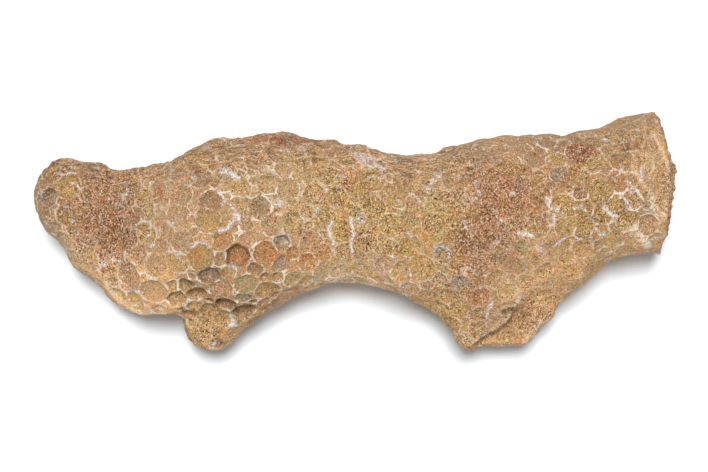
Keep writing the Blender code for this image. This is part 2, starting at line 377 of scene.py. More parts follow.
    def skin(self, xs: Array, turns: Array) -> Array:
        """Lay a grid on the form: one row for each x, its points spread by length round the section.

        Along each of many rays from the section's middle, halving finds where the field is nought. The
        points' shares of the way round are then read off the rays' running length, for all rows at once.

        Args:
            xs: The rows' places along the trunk.
            turns: The columns' shares of the way round, from +Y through +Z, rising.

        Returns:
            Points as rows by columns by 3.
        """
        angle = np.linspace(0.0, math.tau, self.rays)
        x = np.repeat(xs[:, None], len(angle), axis=1)
        mid_y, _, mid_z, _ = self.section(x)
        dy, dz = np.cos(angle), np.sin(angle)
        near, far = np.zeros_like(x), np.full_like(x, self.ray_length)
        for _ in range(self.halvings):
            middle = (near + far) / 2
            inside = self.field(x, mid_y + dy * middle, mid_z + dz * middle) < 0
            near, far = np.where(inside, middle, near), np.where(inside, far, middle)
        y, z = mid_y + dy * near, mid_z + dz * near
        run = np.cumsum(np.hypot(np.diff(y, axis=1), np.diff(z, axis=1)), axis=1)
        run = np.concatenate([np.zeros((len(xs), 1)), run], axis=1) / run[:, -1:]
        row = np.arange(len(xs))[:, None]
        at = (turns[None, :] + row * 2.0).ravel()
        keys = (run + row * 2.0).ravel()
        i = np.clip(np.searchsorted(keys, at, side="right") - 1, 0, len(keys) - 2)
        t = (at - keys[i]) / (keys[i + 1] - keys[i])
        y, z = (v.ravel()[i] * (1 - t) + v.ravel()[i + 1] * t for v in (y, z))
        return np.stack([np.repeat(xs, len(turns)), y, z], axis=-1).reshape(len(xs), len(turns), 3)


# =============================================================================================
# Cups: the calices that the polyps lived in
# =============================================================================================
class Tint(Enum):
    """The stains of the limestone, as display colours."""

    TAN = (192, 155, 118)
    OCHRE = (198, 161, 96)
    BROWN = (158, 122, 88)
    RUST = (168, 104, 68)
    ORANGE = (200, 136, 80)
    PINK = (203, 160, 128)
    GREY = (158, 148, 136)
    GREEN = (168, 154, 112)
    PALE = (216, 190, 156)
    DARK = (140, 104, 76)
    CREAM = (236, 214, 186)
    APRICOT = (240, 189, 136)
    SLATE = (160, 156, 166)

    @property
    def light(self) -> Array:
        """The stain as linear light."""
        return np.array(to_linear(*self.value))


@dataclass(frozen=True)
class Cup:
    """One cup on the upper side: its middle in plan, radius, depth and the stain of its floor."""

    x: float
    y: float
    radius: float
    depth: float
    tint: Tint


CLEAR_CUPS: tuple[Cup, ...] = tuple(Cup(*row[:4], Tint[row[4]]) for row in (
    # the lobe and the hollow beside the left stump, where the cups are freshest
    (-18.4, -4.2, 1.7, 1.0, "ORANGE"), (-17.1, -8.7, 1.6, 0.45, "GREEN"), (-22.8, -7.3, 1.4, 0.85, "GREY"),
    (-26.5, -8.8, 1.3, 0.8, "GREY"), (-24.9, -10.1, 1.4, 1.0, "OCHRE"), (-28.2, -11.2, 1.35, 0.9, "GREEN"),
    (-28.8, -8.8, 1.0, 0.5, "OCHRE"), (-31.7, -9.7, 1.9, 0.4, "TAN"), (-31.3, -12.9, 1.2, 0.3, "OCHRE"),
    (-35.8, -7.5, 1.95, 0.35, "PINK"), (-35.0, -11.1, 1.4, 0.45, "OCHRE"),
    (-34.6, -12.9, 0.9, 0.3, "OCHRE"), (-37.9, -10.3, 1.15, 0.5, "PINK"),
    (-38.8, -8.4, 0.95, 0.45, "OCHRE"), (-39.6, -6.8, 1.0, 0.35, "PINK"), (-40.0, -4.9, 1.0, 0.3, "PINK"),
    (-24.2, -4.4, 1.75, 0.4, "OCHRE"), (-21.2, -4.6, 1.05, 0.4, "PINK"), (-21.1, -9.4, 1.5, 0.4, "PINK"),
    (-20.5, -12.0, 1.4, 1.0, "BROWN"), (-17.6, -13.1, 1.65, 1.0, "BROWN"),
    (-20.0, -6.7, 1.05, 0.4, "OCHRE"), (-17.6, -10.9, 1.1, 0.5, "GREY"), (-13.9, -3.9, 1.7, 0.5, "ORANGE"),
    (-9.7, -7.9, 1.3, 0.35, "GREEN"), (-13.9, -9.4, 1.7, 0.6, "OCHRE"), (-11.5, -5.3, 1.2, 0.4, "GREY"),
    (-11.5, -2.1, 1.2, 0.6, "GREY"), (-15.5, -6.3, 1.1, 0.4, "BROWN"), (-16.8, -1.6, 1.1, 0.3, "PINK"),
    (-7.1, -5.2, 1.4, 0.3, "ORANGE"), (-5.2, -3.6, 1.3, 0.25, "ORANGE"), (-6.9, -2.1, 1.5, 0.3, "PINK"),
    (-16.0, -14.5, 1.3, 0.5, "BROWN"), (-22.0, -18.6, 1.0, 0.5, "RUST"), (-28.4, -14.5, 1.3, 0.2, "OCHRE"),
    # the worn shoulder
    (-32.9, -0.5, 1.5, 0.35, "OCHRE"), (-22.4, 4.4, 1.5, 0.3, "BROWN"), (-17.8, 3.9, 1.4, 0.3, "TAN"),
    (-22.9, 1.5, 1.7, 0.4, "OCHRE"), (-31.0, 6.0, 1.4, 0.2, "ORANGE"), (-33.6, 5.0, 1.4, 0.2, "OCHRE"),
    (-20.5, -1.5, 1.3, 0.4, "ORANGE"), (-17.9, 6.6, 1.4, 0.2, "OCHRE"), (-31.3, -5.7, 1.6, 0.15, "TAN"),
    (-27.8, -5.2, 1.5, 0.15, "OCHRE"), (-27.3, 8.9, 1.5, 0.15, "PINK"), (-24.1, 8.1, 1.5, 0.15, "BROWN"),
    (-20.3, 9.4, 1.4, 0.2, "BROWN"), (-12.8, 0.8, 1.5, 0.25, "TAN"), (-14.9, 3.6, 1.5, 0.2, "BROWN"),
    # the rounded tip
    (-49.1, 5.0, 1.5, 0.6, "BROWN"), (-45.9, 2.4, 1.4, 0.5, "BROWN"), (-45.7, 7.1, 1.7, 0.4, "OCHRE"),
    (-43.4, -2.6, 1.5, 0.25, "PINK"), (-42.0, -5.2, 1.3, 0.25, "OCHRE"),
    # the middle
    (-9.7, 1.0, 1.5, 0.4, "OCHRE"), (3.1, 7.8, 1.5, 0.35, "OCHRE"), (1.0, 6.3, 1.3, 0.2, "OCHRE"),
    (9.4, 4.5, 1.3, 0.3, "PINK"), (7.1, 4.4, 1.0, 0.2, "OCHRE"), (8.9, -2.6, 1.4, 0.35, "OCHRE"),
    (13.9, -3.6, 1.4, 0.3, "GREY"), (7.4, -6.6, 1.5, 0.4, "OCHRE"), (-2.1, -6.5, 1.5, 0.3, "PALE"),
    (1.3, -6.5, 1.5, 0.3, "OCHRE"), (5.0, -5.5, 1.4, 0.25, "PINK"), (10.5, -6.1, 1.8, 0.2, "OCHRE"),
    (-1.8, -0.3, 1.5, 0.2, "OCHRE"), (1.8, -1.8, 1.5, 0.2, "TAN"), (-0.6, 8.1, 1.6, 0.2, "ORANGE"),
    # above the right stump
    (17.0, -8.6, 1.4, 0.3, "GREY"), (24.4, -10.0, 1.3, 0.2, "OCHRE"), (22.8, -4.0, 1.3, 0.2, "GREEN"),
    (26.5, -2.7, 1.1, 0.2, "GREEN"), (19.9, -10.7, 1.5, 0.15, "RUST"),
    # the cluster near the broken end
    (38.8, 5.8, 1.7, 0.3, "OCHRE"), (35.7, 5.8, 1.1, 0.35, "BROWN"), (41.5, 3.9, 1.5, 0.3, "OCHRE"),
    (44.1, 4.7, 1.4, 0.25, "TAN"), (38.9, 2.1, 1.5, 0.3, "OCHRE"), (43.4, 1.3, 1.7, 0.3, "OCHRE"),
    (41.0, 0.5, 0.8, 0.2, "PINK"), (36.2, 3.4, 1.4, 0.35, "OCHRE"), (32.9, 3.4, 1.7, 0.3, "OCHRE"),
    (33.4, 0.6, 1.5, 0.3, "OCHRE"), (36.2, 0.2, 1.5, 0.3, "OCHRE"), (38.8, 0.0, 1.4, 0.2, "OCHRE"),
    (41.3, -1.5, 1.5, 0.2, "OCHRE"), (43.8, -1.1, 1.4, 0.2, "TAN"), (32.3, 8.9, 1.2, 0.45, "GREY"),
    (35.4, 12.3, 1.6, 0.35, "RUST"), (31.7, 11.0, 1.4, 0.2, "OCHRE"), (46.3, 6.3, 1.4, 0.2, "TAN"),
    (42.5, 11.0, 1.5, 0.25, "BROWN"),
))


@dataclass(frozen=True)
class CupField:
    """What every place on the skin knows of its cup.

    Attributes:
        inside: The distance in from the nearest rim, less than nought between cups.
        depth: The depth of the cup's floor.
        share: The way out from the cup's middle, 1 at its radius.
        lean: The way out towards the cup's shaded side, the same way all over the coral, where the painted
            shade goes.
        tint: The linear colour of the cup's floor.
        fresh: How little worn the cup is, 0 to 1.
        lot: One random number for each cup.
    """

    inside: Array
    depth: Array
    share: Array
    lean: Array
    tint: Array
    fresh: Array
    lot: Array


# The stains of the strewn cups' floors, and the share of the cups that have each.
STREWN_TINTS: dict[Tint, float] = {
    Tint.TAN: 0.32,
    Tint.OCHRE: 0.3,
    Tint.PINK: 0.14,
    Tint.BROWN: 0.12,
    Tint.GREY: 0.07,
    Tint.ORANGE: 0.05,
}


@dataclass(frozen=True)
class Calices:
    """The cups all over the coral: the clear ones listed one by one, and others strewn between them.

    Attributes:
        sizes: The strewn cups' radii, largest first: smaller ones fill what is left.
        uneven: The least and the most of that radius that one cup has.
        darts: How many places are tried for each size.
        squeeze: The share of two cups' radii that their middles keep apart, or all of it from a clear cup.
        stretch: How much wider the clear cups are than their radii, so that neighbours' rims meet.
        overlap: How much wider all cups are than they were strewn, so that neighbours share straight walls.
        waver: How far a rim strays from its true curve.
        waver_size: The length of that straying.
        clear_depth: A clear cup's depth is the first of these times its own to the power of the second.
        strewn_depth: The depth of a strewn cup, what full wear takes from it, and what a deep patch adds.
        strewn_spread: The least and the most of that depth that one cup has.
        own_tint: The shares of the limestone round about and of its own stain in a strewn cup's floor.
        shaded: The direction of the cups' shaded side, where painted shade goes.
        upper: How far up a normal points on the upper side, where the clear cups are.
        batch: How many places are worked out at once.
        seed: Chooses the strewn cups.
    """

    sizes: tuple[float, ...] = (1.6, 1.35, 1.0, 0.7)
    uneven: tuple[float, float] = (0.9, 1.08)
    darts: int = 5000
    squeeze: float = 0.92
    stretch: float = 1.12
    overlap: float = 1.17
    waver: float = 0.17
    waver_size: float = 1.1
    clear_depth: tuple[float, float] = (1.2, 1.6)
    strewn_depth: tuple[float, float, float] = (0.16, 0.1, 0.6)
    strewn_spread: tuple[float, float] = (0.6, 1.15)
    own_tint: tuple[float, float] = (0.55, 0.45)
    shaded: tuple[float, float, float] = (-0.55, 0.83, 0.0)
    upper: float = 0.05
    batch: int = 4000
    seed: int = 5

    def strewn(self, points: Array, normals: Array) -> tuple[Array, Array, int]:
        """Choose the cups' middles from the skin's own points, by throwing darts.

        Args:
            points: The skin.
            normals: Its normals.

        Returns:
            The middles, the radii, and how many of them are the clear cups.
        """
        random = np.random.default_rng(self.seed)
        upper = np.flatnonzero(normals[:, 2] > self.upper)
        plan = points[upper, :2]
        placed = [upper[np.argmin(np.hypot(*(plan - (cup.x, cup.y)).T))] for cup in CLEAR_CUPS]
        middles = points[placed]
        radii = np.array([cup.radius for cup in CLEAR_CUPS]) * self.stretch
        squeeze = np.full(len(radii), 1.0)
        for size in self.sizes:
            for dart in random.choice(len(points), self.darts, replace=False):
                apart = np.linalg.norm(middles - points[dart], axis=1)
                if np.all(apart > (radii + size) * squeeze):
                    middles = np.vstack([middles, points[dart]])
                    radii = np.append(radii, size * random.uniform(*self.uneven))
                    squeeze = np.append(squeeze, self.squeeze)
        return middles, radii, len(placed)

    def measure(self, points: Array, normals: Array, wear: Array, deep: Array, stain: Array) -> CupField:
        """Give every place the cup whose circle it is most within, and its distance in from the rim.

        A rim lies on the cup's circle, or where two circles that overlap are equally near: there the
        distance in is half the gap between the two smallest values of distance less radius.

        Args:
            points: The skin.
            normals: Its normals.
            wear: How worn the skin is, 0 to 1.
            deep: How deep its cups are kept, 0 to 1.
            stain: The linear colour of the limestone round about.

        Returns:
            The cup's measures at every place.
        """
        middles, radii, clear = self.strewn(points, normals)
        radii = radii * self.overlap
        random = np.random.default_rng(self.seed + 1)
        stray = [Grain(40 + axis).at(points, self.waver_size, 2) for axis in range(3)]
        stray = np.stack(stray, axis=-1) * self.waver
        nearest = np.empty(len(points), dtype=int)
        between, beyond = np.empty(len(points)), np.empty(len(points))
        for start in range(0, len(points), self.batch):
            part = slice(start, start + self.batch)
            offset = (points[part] + stray[part])[:, None, :] - middles
            reach = np.sqrt(np.einsum("ijk,ijk->ij", offset, offset)) - radii
            two = np.argpartition(reach, 1, axis=1)[:, :2]
            near = np.take_along_axis(reach, two, axis=1)
            first = np.argmin(near, axis=1)
            nearest[part] = np.take_along_axis(two, first[:, None], axis=1)[:, 0]
            between[part] = np.abs(near[:, 1] - near[:, 0]) / 2
            beyond[part] = near.min(axis=1)
        at_middle = np.array([np.argmin(np.linalg.norm(points - m, axis=1)) for m in middles[clear:]])
        worn = wear[at_middle]
        lots = random.uniform(size=len(middles))
        usual, wear_off, deepening = self.strewn_depth
        kept = usual - wear_off * worn + deepening * deep[at_middle]
        kept = kept * random.uniform(*self.strewn_spread, len(worn))
        scale, power = self.clear_depth
        depth = np.append([scale * cup.depth**power for cup in CLEAR_CUPS], kept)
        floors = np.array([cup.tint.light for cup in CLEAR_CUPS])
        choice = random.choice(list(STREWN_TINTS), size=len(worn), p=list(STREWN_TINTS.values()))
        strewn = np.array([tint.light for tint in choice])
        floors = np.vstack([floors, stain[at_middle] * self.own_tint[0] + strewn * self.own_tint[1]])
        fresh = np.append(np.ones(clear), 1.0 - worn)
        inside = np.minimum(-beyond, between)
        share = 1.0 + beyond / radii[nearest]
        lean = (points - middles[nearest]) @ np.array(self.shaded) / radii[nearest]
        found = (values[nearest] for values in (floors, fresh, lots))
        return CupField(inside, depth[nearest], share, lean, *found)


# =============================================================================================
# Weathering: patches, veins and breaks
# =============================================================================================
class Trait(Enum):
    """What a patch changes: weathering, and in a few marked rows painted light and shade."""

    DARK = "dark"
    PALE = "pale"
    RUST = "rust"
    OCHRE = "ochre"
    PINK = "pink"
    ORANGE = "orange"
    APRICOT = "apricot"
    SLATE = "slate"
    POROUS = "porous"
    WORN = "worn"
    VEINED = "veined"
    DEEP = "deep"


@dataclass(frozen=True)
class Patch:
    """An oval patch with soft edges, in plan on the upper side."""

    x: float
    y: float
    along: float
    across: float
    turn: float
    strength: float

    def weight(self, points: Array) -> Array:
        """Fall off as e to the -0.8 r^2 - 0.2 r^4, r being the distance in the oval's own measure."""
        c, s = math.cos(math.radians(self.turn)), math.sin(math.radians(self.turn))
        dx, dy = points[:, 0] - self.x, points[:, 1] - self.y
        reach = ((dx * c + dy * s) / self.along) ** 2 + ((dy * c - dx * s) / self.across) ** 2
        return self.strength * np.exp(-0.8 * reach - 0.2 * reach**2)


@dataclass(frozen=True)
class Streak:
    """A streak drawn along a line in plan: its half width and its strength."""

    line: tuple[tuple[float, float], ...]
    width: float
    strength: float

    def weight(self, points: Array) -> Array:
        """Fall off from the line's nearest stretch: a narrow bell curve on a faint one twice as wide."""
        nearest = np.full(len(points), np.inf)
        for start, end in zip(self.line, self.line[1:]):
            start, along = np.array(start), np.subtract(end, start)
            offset = points[:, :2] - start
            t = np.clip(offset @ along / (along @ along), 0.0, 1.0)
            nearest = np.minimum(nearest, np.linalg.norm(offset - t[:, None] * along, axis=1))
        near = np.exp(-((nearest / self.width) ** 2))
        return self.strength * (0.8 * near + 0.2 * np.exp(-((nearest / self.width / 2) ** 2)))

    @staticmethod
    def rows(*rows: tuple[float, ...]) -> tuple[Streak, ...]:
        """Make streaks from rows of a half width, a strength, and the line's x, y, x, y and so on."""
        return tuple(Streak(tuple(zip(row[2::2], row[3::2])), *row[:2]) for row in rows)

    @staticmethod
    def strongest(streaks: tuple[Streak, ...], points: Array, normals: Array) -> Array:
        """Take the strongest of many streaks at each place on the upper side."""
        upper = smooth_step(normals[:, 2] * 3.0 + 0.4)
        return np.max([streak.weight(points) for streak in streaks], axis=0) * upper


# The patches by what they change. Each row is the middle in plan, the half sizes, the turn in degrees and
# the strength. A few rows are painted light or shade, as marked.
PATCHES: dict[Trait, tuple[Patch, ...]] = {
    trait: tuple(Patch(*row) for row in rows)
    for trait, rows in {
        Trait.DARK: (
            (-39.1, 1.3, 3.8, 7.5, 10, 0.4), (-44.2, 9.9, 7.0, 2.6, 0, 0.65),
            (-24.9, 12.3, 9.0, 2.6, 15, 0.45), (-26.5, 6.4, 4.0, 3.0, 0, 0.3),
            (-49.0, 5.5, 3.5, 6.0, 0, 0.7), (-10.0, 14.0, 9.0, 1.6, 0, 0.4), (7.4, 8.1, 4.0, 3.0, 0, 0.3),
            (38.0, 4.0, 4.5, 4.0, 0, 0.45), (42.6, 1.6, 3.5, 3.5, 0, 0.5), (43.0, 15.6, 6.0, 2.4, 15, 0.35),
            (33.3, 13.7, 6.0, 2.6, 0, 0.75), (19.9, -1.1, 4.0, 4.0, 0, 0.3),
            (-21.6, -9.0, 5.0, 4.2, 0, 1.0), (-14.0, -12.5, 4.5, 3.0, 0, 0.7),
            # the second patch below is painted shadow under the ledge of the right stump
            (43.0, 13.4, 2.2, 0.9, -10, 0.9), (25.5, -13.5, 4.5, 0.8, 40, 0.6),
            (35.4, 12.3, 1.9, 1.6, 0, 0.9),
        ),
        Trait.PALE: (
            (-12.0, 4.8, 6.0, 5.0, 0, 0.7), (-30.0, 1.0, 7.0, 8.0, 0, 0.25),
            # the first patch below is partly painted light on the arch's lower front, which faces -Y
            (-2.0, -7.2, 11.0, 2.4, 0, 1.0), (20.3, -16.9, 2.5, 2.5, 0, 0.5), (46.5, 8.0, 1.6, 5.0, 0, 0.4),
            (-45.9, -3.4, 5.0, 2.4, -40, 1.0),
        ),
        Trait.RUST: (
            (-39.5, 1.0, 4.6, 7.5, 10, 0.9), (23.6, 6.5, 7.0, 4.5, -20, 1.0),
            (20.0, -1.5, 4.5, 4.0, 0, 0.85), (18.7, -9.0, 3.0, 5.0, 0, 0.4), (35.4, 12.3, 1.9, 1.6, 0, 1.0),
            (-10.0, 14.6, 6.0, 0.9, 0, 1.2), (33.0, 8.0, 2.2, 2.0, 0, 0.5), (51.0, 6.0, 1.2, 8.0, 0, 0.15),
            (50.7, 3.3, 0.6, 1.1, 0, 2.0),
        ),
        Trait.OCHRE: (
            (-2.3, 4.8, 8.0, 6.0, 0, 0.6), (2.6, -1.6, 6.0, 5.0, 0, 0.5), (12.3, 1.6, 7.0, 6.0, 0, 0.8),
            (13.9, -11.0, 4.0, 6.0, 0, 0.8), (37.0, 2.0, 8.0, 6.0, 0, 0.45),
            (-23.5, -15.5, 4.0, 4.0, 0, 0.7), (33.0, -8.0, 6.0, 3.0, 30, 0.4),
        ),
        Trait.PINK: (
            (-29.0, 3.0, 6.0, 8.0, 0, 0.35), (-36.0, -8.0, 4.0, 4.0, 0, 0.5), (9.0, 9.5, 7.0, 3.0, 0, 0.3),
            (24.0, -7.0, 3.0, 4.0, 0, 0.3),
        ),
        Trait.ORANGE: (
            (-13.6, -4.9, 4.5, 2.8, 0, 0.85), (-7.0, -5.0, 3.0, 2.0, 0, 0.35),
            (19.5, -6.6, 3.0, 2.6, 0, 0.35), (28.5, -12.5, 5.5, 3.0, 40, 0.45),
        ),
        Trait.APRICOT: (
            # the first patch below is partly painted light on the lobe's lower front, which faces -Y
            (-34.5, -9.8, 7.5, 5.0, 0, 1.1), (29.7, -10.4, 3.2, 3.0, 0, 0.8), (49.8, 9.5, 2.0, 7.0, 0, 0.4),
            (33.0, -4.2, 5.0, 2.6, 0, 0.25), (16.9, -12.8, 2.4, 4.0, 0, 0.25),
        ),
        Trait.SLATE: (
            (-48.8, 4.7, 0.9, 1.1, 0, 0.4), (-50.2, 5.1, 0.6, 0.9, 0, 0.8), (-48.4, 0.9, 0.7, 0.9, 0, 0.7),
            (-40.3, 1.3, 0.8, 1.1, 0, 0.5), (-37.1, 4.5, 0.6, 0.8, 0, 0.4), (-11.3, -1.2, 1.2, 0.9, 0, 0.5),
            (-9.9, 2.2, 1.0, 0.5, 30, 0.6), (7.1, -6.0, 1.0, 0.6, 30, 0.5), (16.1, -8.7, 0.9, 0.9, 0, 0.6),
            (32.2, 8.9, 1.0, 0.7, 20, 0.25), (37.8, 2.0, 0.8, 1.0, 0, 0.5), (39.9, 2.9, 0.7, 1.0, 20, 0.5),
            (46.4, 3.2, 1.1, 1.4, 0, 0.45),
        ),
        Trait.POROUS: (
            (-39.1, 1.3, 5.0, 8.0, 10, 1.3), (-2.3, 3.8, 8.0, 6.5, 0, 0.6), (2.6, -1.6, 5.0, 5.0, 0, 0.45),
            (12.3, 1.6, 7.0, 6.0, 0, 0.25), (21.0, 3.0, 8.0, 8.0, 0, 0.9), (17.0, -9.0, 5.0, 7.0, 0, 0.35),
            (35.4, 12.3, 1.9, 1.6, 0, 1.2), (28.5, -12.5, 5.5, 3.5, 40, 0.7),
            (-23.5, -16.0, 4.0, 4.0, 0, 0.6), (-45.5, -3.0, 5.0, 3.6, -50, 0.3),
            (49.6, 8.0, 1.6, 7.0, 0, 0.3), (20.2, -17.0, 2.6, 2.0, 0, 0.6), (38.5, 3.5, 7.0, 6.0, 0, 0.4),
            (13.0, -11.0, 3.5, 4.0, 0, 0.5),
        ),
        Trait.WORN: (
            (-29.0, 3.0, 6.5, 8.5, 0, 0.6), (-39.1, 1.3, 4.5, 7.0, 10, 0.8), (9.0, 9.0, 7.0, 3.5, 0, 1.0),
            (22.0, 2.0, 9.0, 8.0, 0, 0.8), (3.0, 2.0, 9.0, 7.0, 0, 0.5), (33.0, -5.0, 6.0, 4.5, 0, 0.7),
            (26.0, -14.0, 6.0, 4.0, 0, 0.9), (-23.5, -16.0, 4.0, 3.5, 0, 0.7),
            (40.0, 14.5, 9.0, 3.5, 15, 0.6), (49.0, 7.0, 2.6, 9.0, 15, 0.9),
        ),
        Trait.VEINED: (
            (-35.0, -10.0, 6.5, 4.5, 0, 2.2), (-20.0, -8.5, 10.0, 5.5, 0, 0.35),
            (-12.0, 4.0, 6.0, 6.0, 0, 0.3), (-20.5, 3.0, 7.0, 6.0, 0, 0.5), (-32.0, 0.0, 4.0, 5.0, 0, 0.4),
            (0.0, -7.5, 10.0, 2.0, 0, 0.6), (39.5, 3.0, 7.5, 6.0, 0, 0.6), (46.0, 4.0, 2.5, 8.0, 0, 0.3),
            (30.0, 13.0, 6.0, 3.0, 0, 0.4), (4.0, 9.0, 5.0, 3.0, 0, 0.5),
        ),
        Trait.DEEP: (
            (-21.5, -10.0, 8.5, 5.0, 0, 1.0), (-11.5, -4.5, 4.0, 4.0, 0, 0.4),
        ),
    }.items()
}

VEINS: tuple[Streak, ...] = Streak.rows(
    # the shoulder and the left stump
    (0.19, 0.98, -34.7, 0.8, -33.6, 1.5, -32.6, 1.1, -31.3, 0.2, -30.8, -1.0),
    (0.7, 0.85, -20.7, 9.4, -19.1, 8.7, -18.4, 8.1), (0.41, 0.83, -21.3, 6.0, -20.3, 4.4),
    (0.34, 0.88, -19.4, 4.0, -18.7, 2.9, -17.9, 1.3),
    (0.41, 0.93, -21.2, -0.2, -20.0, 0.2, -19.1, 1.3, -18.2, 2.3),
    (0.37, 0.78, -25.7, -2.7, -24.5, -1.9, -23.3, -1.8),
    (0.41, 1.08, -19.7, -13.9, -19.2, -15.3, -20.0, -15.5),
    (0.34, 0.73, -39.1, -4.4, -37.5, -5.2, -36.2, -4.0),
    (0.27, 0.98, -36.7, -10.0, -34.9, -9.7, -33.8, -10.0), (0.34, 1.08, -32.5, -12.9, -32.6, -13.6),
    (0.31, 0.68, -15.2, 9.7, -12.6, 9.4, -11.3, 7.8), (0.34, 0.78, -12.9, 4.4, -12.0, 3.7),
    # the rounded tip
    (0.22, 0.88, -48.1, 9.2, -46.5, 9.0, -44.6, 9.2), (0.22, 0.78, -45.7, 7.8, -44.4, 7.4, -43.8, 6.5),
    (0.22, 0.68, -47.0, 2.9, -45.9, 3.9, -44.9, 3.6), (0.24, 0.78, -41.7, 10.2, -40.9, 9.9),
    # the middle
    (0.27, 1.08, -3.4, 1.3, -4.0, 0.3, -3.6, -1.0, -3.2, -2.4),
    (0.29, 1.08, -0.5, 1.8, -0.3, 0.3, 0.0, -0.8, -0.5, -1.8, -0.3, -3.6),
    (0.8, 0.75, 0.3, 12.1, 1.8, 11.8, 3.2, 11.5), (0.45, 0.85, 2.3, 10.3, 3.7, 10.5, 4.7, 9.8),
    (0.55, 0.8, 11.6, 6.5, 12.6, 7.8, 13.4, 8.7), (0.34, 0.78, 6.9, 5.0, 7.4, 4.0),
    (0.29, 0.68, 4.5, -5.2, 4.8, -6.5),
    (0.23, 0.78, 12.6, -3.9, 12.9, -2.7, 14.0, -2.6, 15.0, -3.2, 14.9, -4.4),
    (0.22, 0.78, 8.1, 4.8, 8.9, 5.7, 10.0, 5.3, 10.3, 4.4),
    (0.22, 0.73, 1.3, 7.6, 2.4, 8.6, 3.9, 8.6, 4.4, 7.8),
    # the cluster near the broken end
    (0.27, 1.0, 39.2, 3.6, 40.2, 2.6, 41.5, 2.1), (0.24, 1.0, 41.8, 5.3, 42.8, 4.8, 43.4, 3.9, 43.9, 3.1),
    (0.29, 0.88, 43.1, 7.8, 43.6, 7.4), (0.28, 0.95, 43.6, 6.0, 44.9, 6.1),
    (0.29, 0.98, 31.5, -2.7, 32.5, -1.8, 33.4, -1.3), (0.29, 0.88, 30.7, 0.6, 31.5, 1.0, 31.5, 2.6),
    (0.34, 0.78, 45.5, 10.0, 45.4, 8.4), (0.34, 0.88, 45.2, -0.5, 46.2, -1.8, 47.2, -2.4),
    (0.29, 0.88, 40.5, -5.2, 41.2, -4.7), (0.29, 0.88, 38.1, 0.2, 38.8, -0.3),
    # round the right stump
    (0.36, 1.0, 25.8, -0.5, 27.5, -0.8, 28.1, -1.0), (0.37, 0.93, 21.3, -14.2, 21.5, -12.6, 22.1, -11.6),
    (0.29, 0.58, 23.4, -8.7, 23.7, -7.4), (0.37, 0.68, 17.3, 1.5, 17.8, 0.2),
    (0.34, 0.78, 22.6, 1.9, 23.4, 1.5), (0.34, 0.78, 19.2, 7.8, 19.2, 6.5, 19.9, 5.5),
    (0.37, 0.78, 17.1, -6.3, 18.1, -6.1, 18.9, -6.6), (0.27, 0.68, 26.2, -11.3, 27.9, -9.9, 28.9, -9.2),
)

# Dark cracks and deep pores, with a painted shadow under the ledge of the right stump.
CRACKS_AND_LEDGE_SHADOW: tuple[Streak, ...] = Streak.rows(
    # the arc between the cluster and the right stump
    (0.2, 0.6, 31.6, -2.7, 32.8, -1.4, 35.2, -1.1, 37.5, -1.5, 38.8, -2.4),
    # under the ledge of the right stump, a painted shadow, and a thin crack on beyond its far end
    (0.3, 0.9, 19.6, -18.6, 20.9, -17.8, 23.0, -16.6, 25.1, -14.8, 26.2, -13.4),
    (0.5, 1.0, 24.2, -13.2, 25.3, -12.9), (0.8, 0.6, 26.4, -13.0, 27.6, -13.8),
    (0.2, 0.4, 26.3, -12.2, 27.5, -10.3, 28.9, -9.5),
    # deep pores
    (0.24, 1.0, 43.0, 12.7, 43.6, 12.8), (0.2, 0.9, 48.9, 7.4, 48.9, 7.5),
    (0.18, 0.8, 46.3, 5.9, 46.4, 5.9), (0.2, 0.8, 45.8, 14.3, 45.8, 14.4),
    (0.22, 0.8, -3.0, 6.0, -2.9, 6.1), (0.22, 0.9, 0.9, 1.8, 1.0, 1.9), (0.22, 0.7, 2.3, 3.9, 2.7, 3.9),
    (0.28, 0.6, 1.7, -1.9, 2.0, -1.7), (0.22, 0.9, -23.9, -16.6, -23.7, -16.6),
    (0.3, 0.8, -21.3, -18.6, -20.9, -18.4), (0.2, 0.6, -35.9, -7.8, -35.8, -7.8),
)

# Pale edges: partly the stone's cream rims, partly painted highlights where edges catch the light.
PALE_EDGES_AND_HIGHLIGHTS: tuple[Streak, ...] = Streak.rows(
    # along the broken end, and where it first slopes down
    (0.3, 0.6, 44.1, 10.0, 45.4, 7.6, 47.0, 5.5, 48.1, 3.2, 49.4, 2.0),
    (0.3, 0.5, 44.6, 0.8, 45.4, -1.6, 47.0, -2.6), (0.3, 0.8, 48.8, 18.4, 48.6, 17.3, 49.7, 15.6),
    (0.26, 0.55, 47.4, 15.6, 48.8, 12.5, 49.5, 10.0, 50.9, 8.6),
    (0.28, 0.8, 50.7, 8.3, 50.5, 6.0, 49.8, 3.8, 50.0, 2.6, 50.2, 1.7),
    (0.6, 0.45, 44.0, 0.2, 45.8, -1.4, 46.9, -3.0),
    # along the top of the ledge, a painted highlight on the ridge of the step
    (0.36, 0.55, 18.9, -18.0, 20.9, -17.0, 23.0, -15.6, 25.1, -13.7),
    (0.28, 0.7, 23.8, -12.6, 25.6, -12.3, 26.2, -11.4),
    # along the stumps' lower edges, partly cream rims and partly painted light
    (0.3, 0.6, 27.4, -18.0, 29.0, -16.6, 30.6, -14.2),
    (0.35, 0.7, -39.9, -8.4, -38.4, -10.9, -36.4, -12.6, -33.0, -13.9, -30.4, -14.0),
    (0.35, 0.6, -3.0, -8.6, 3.0, -9.0, 8.5, -11.2),
)


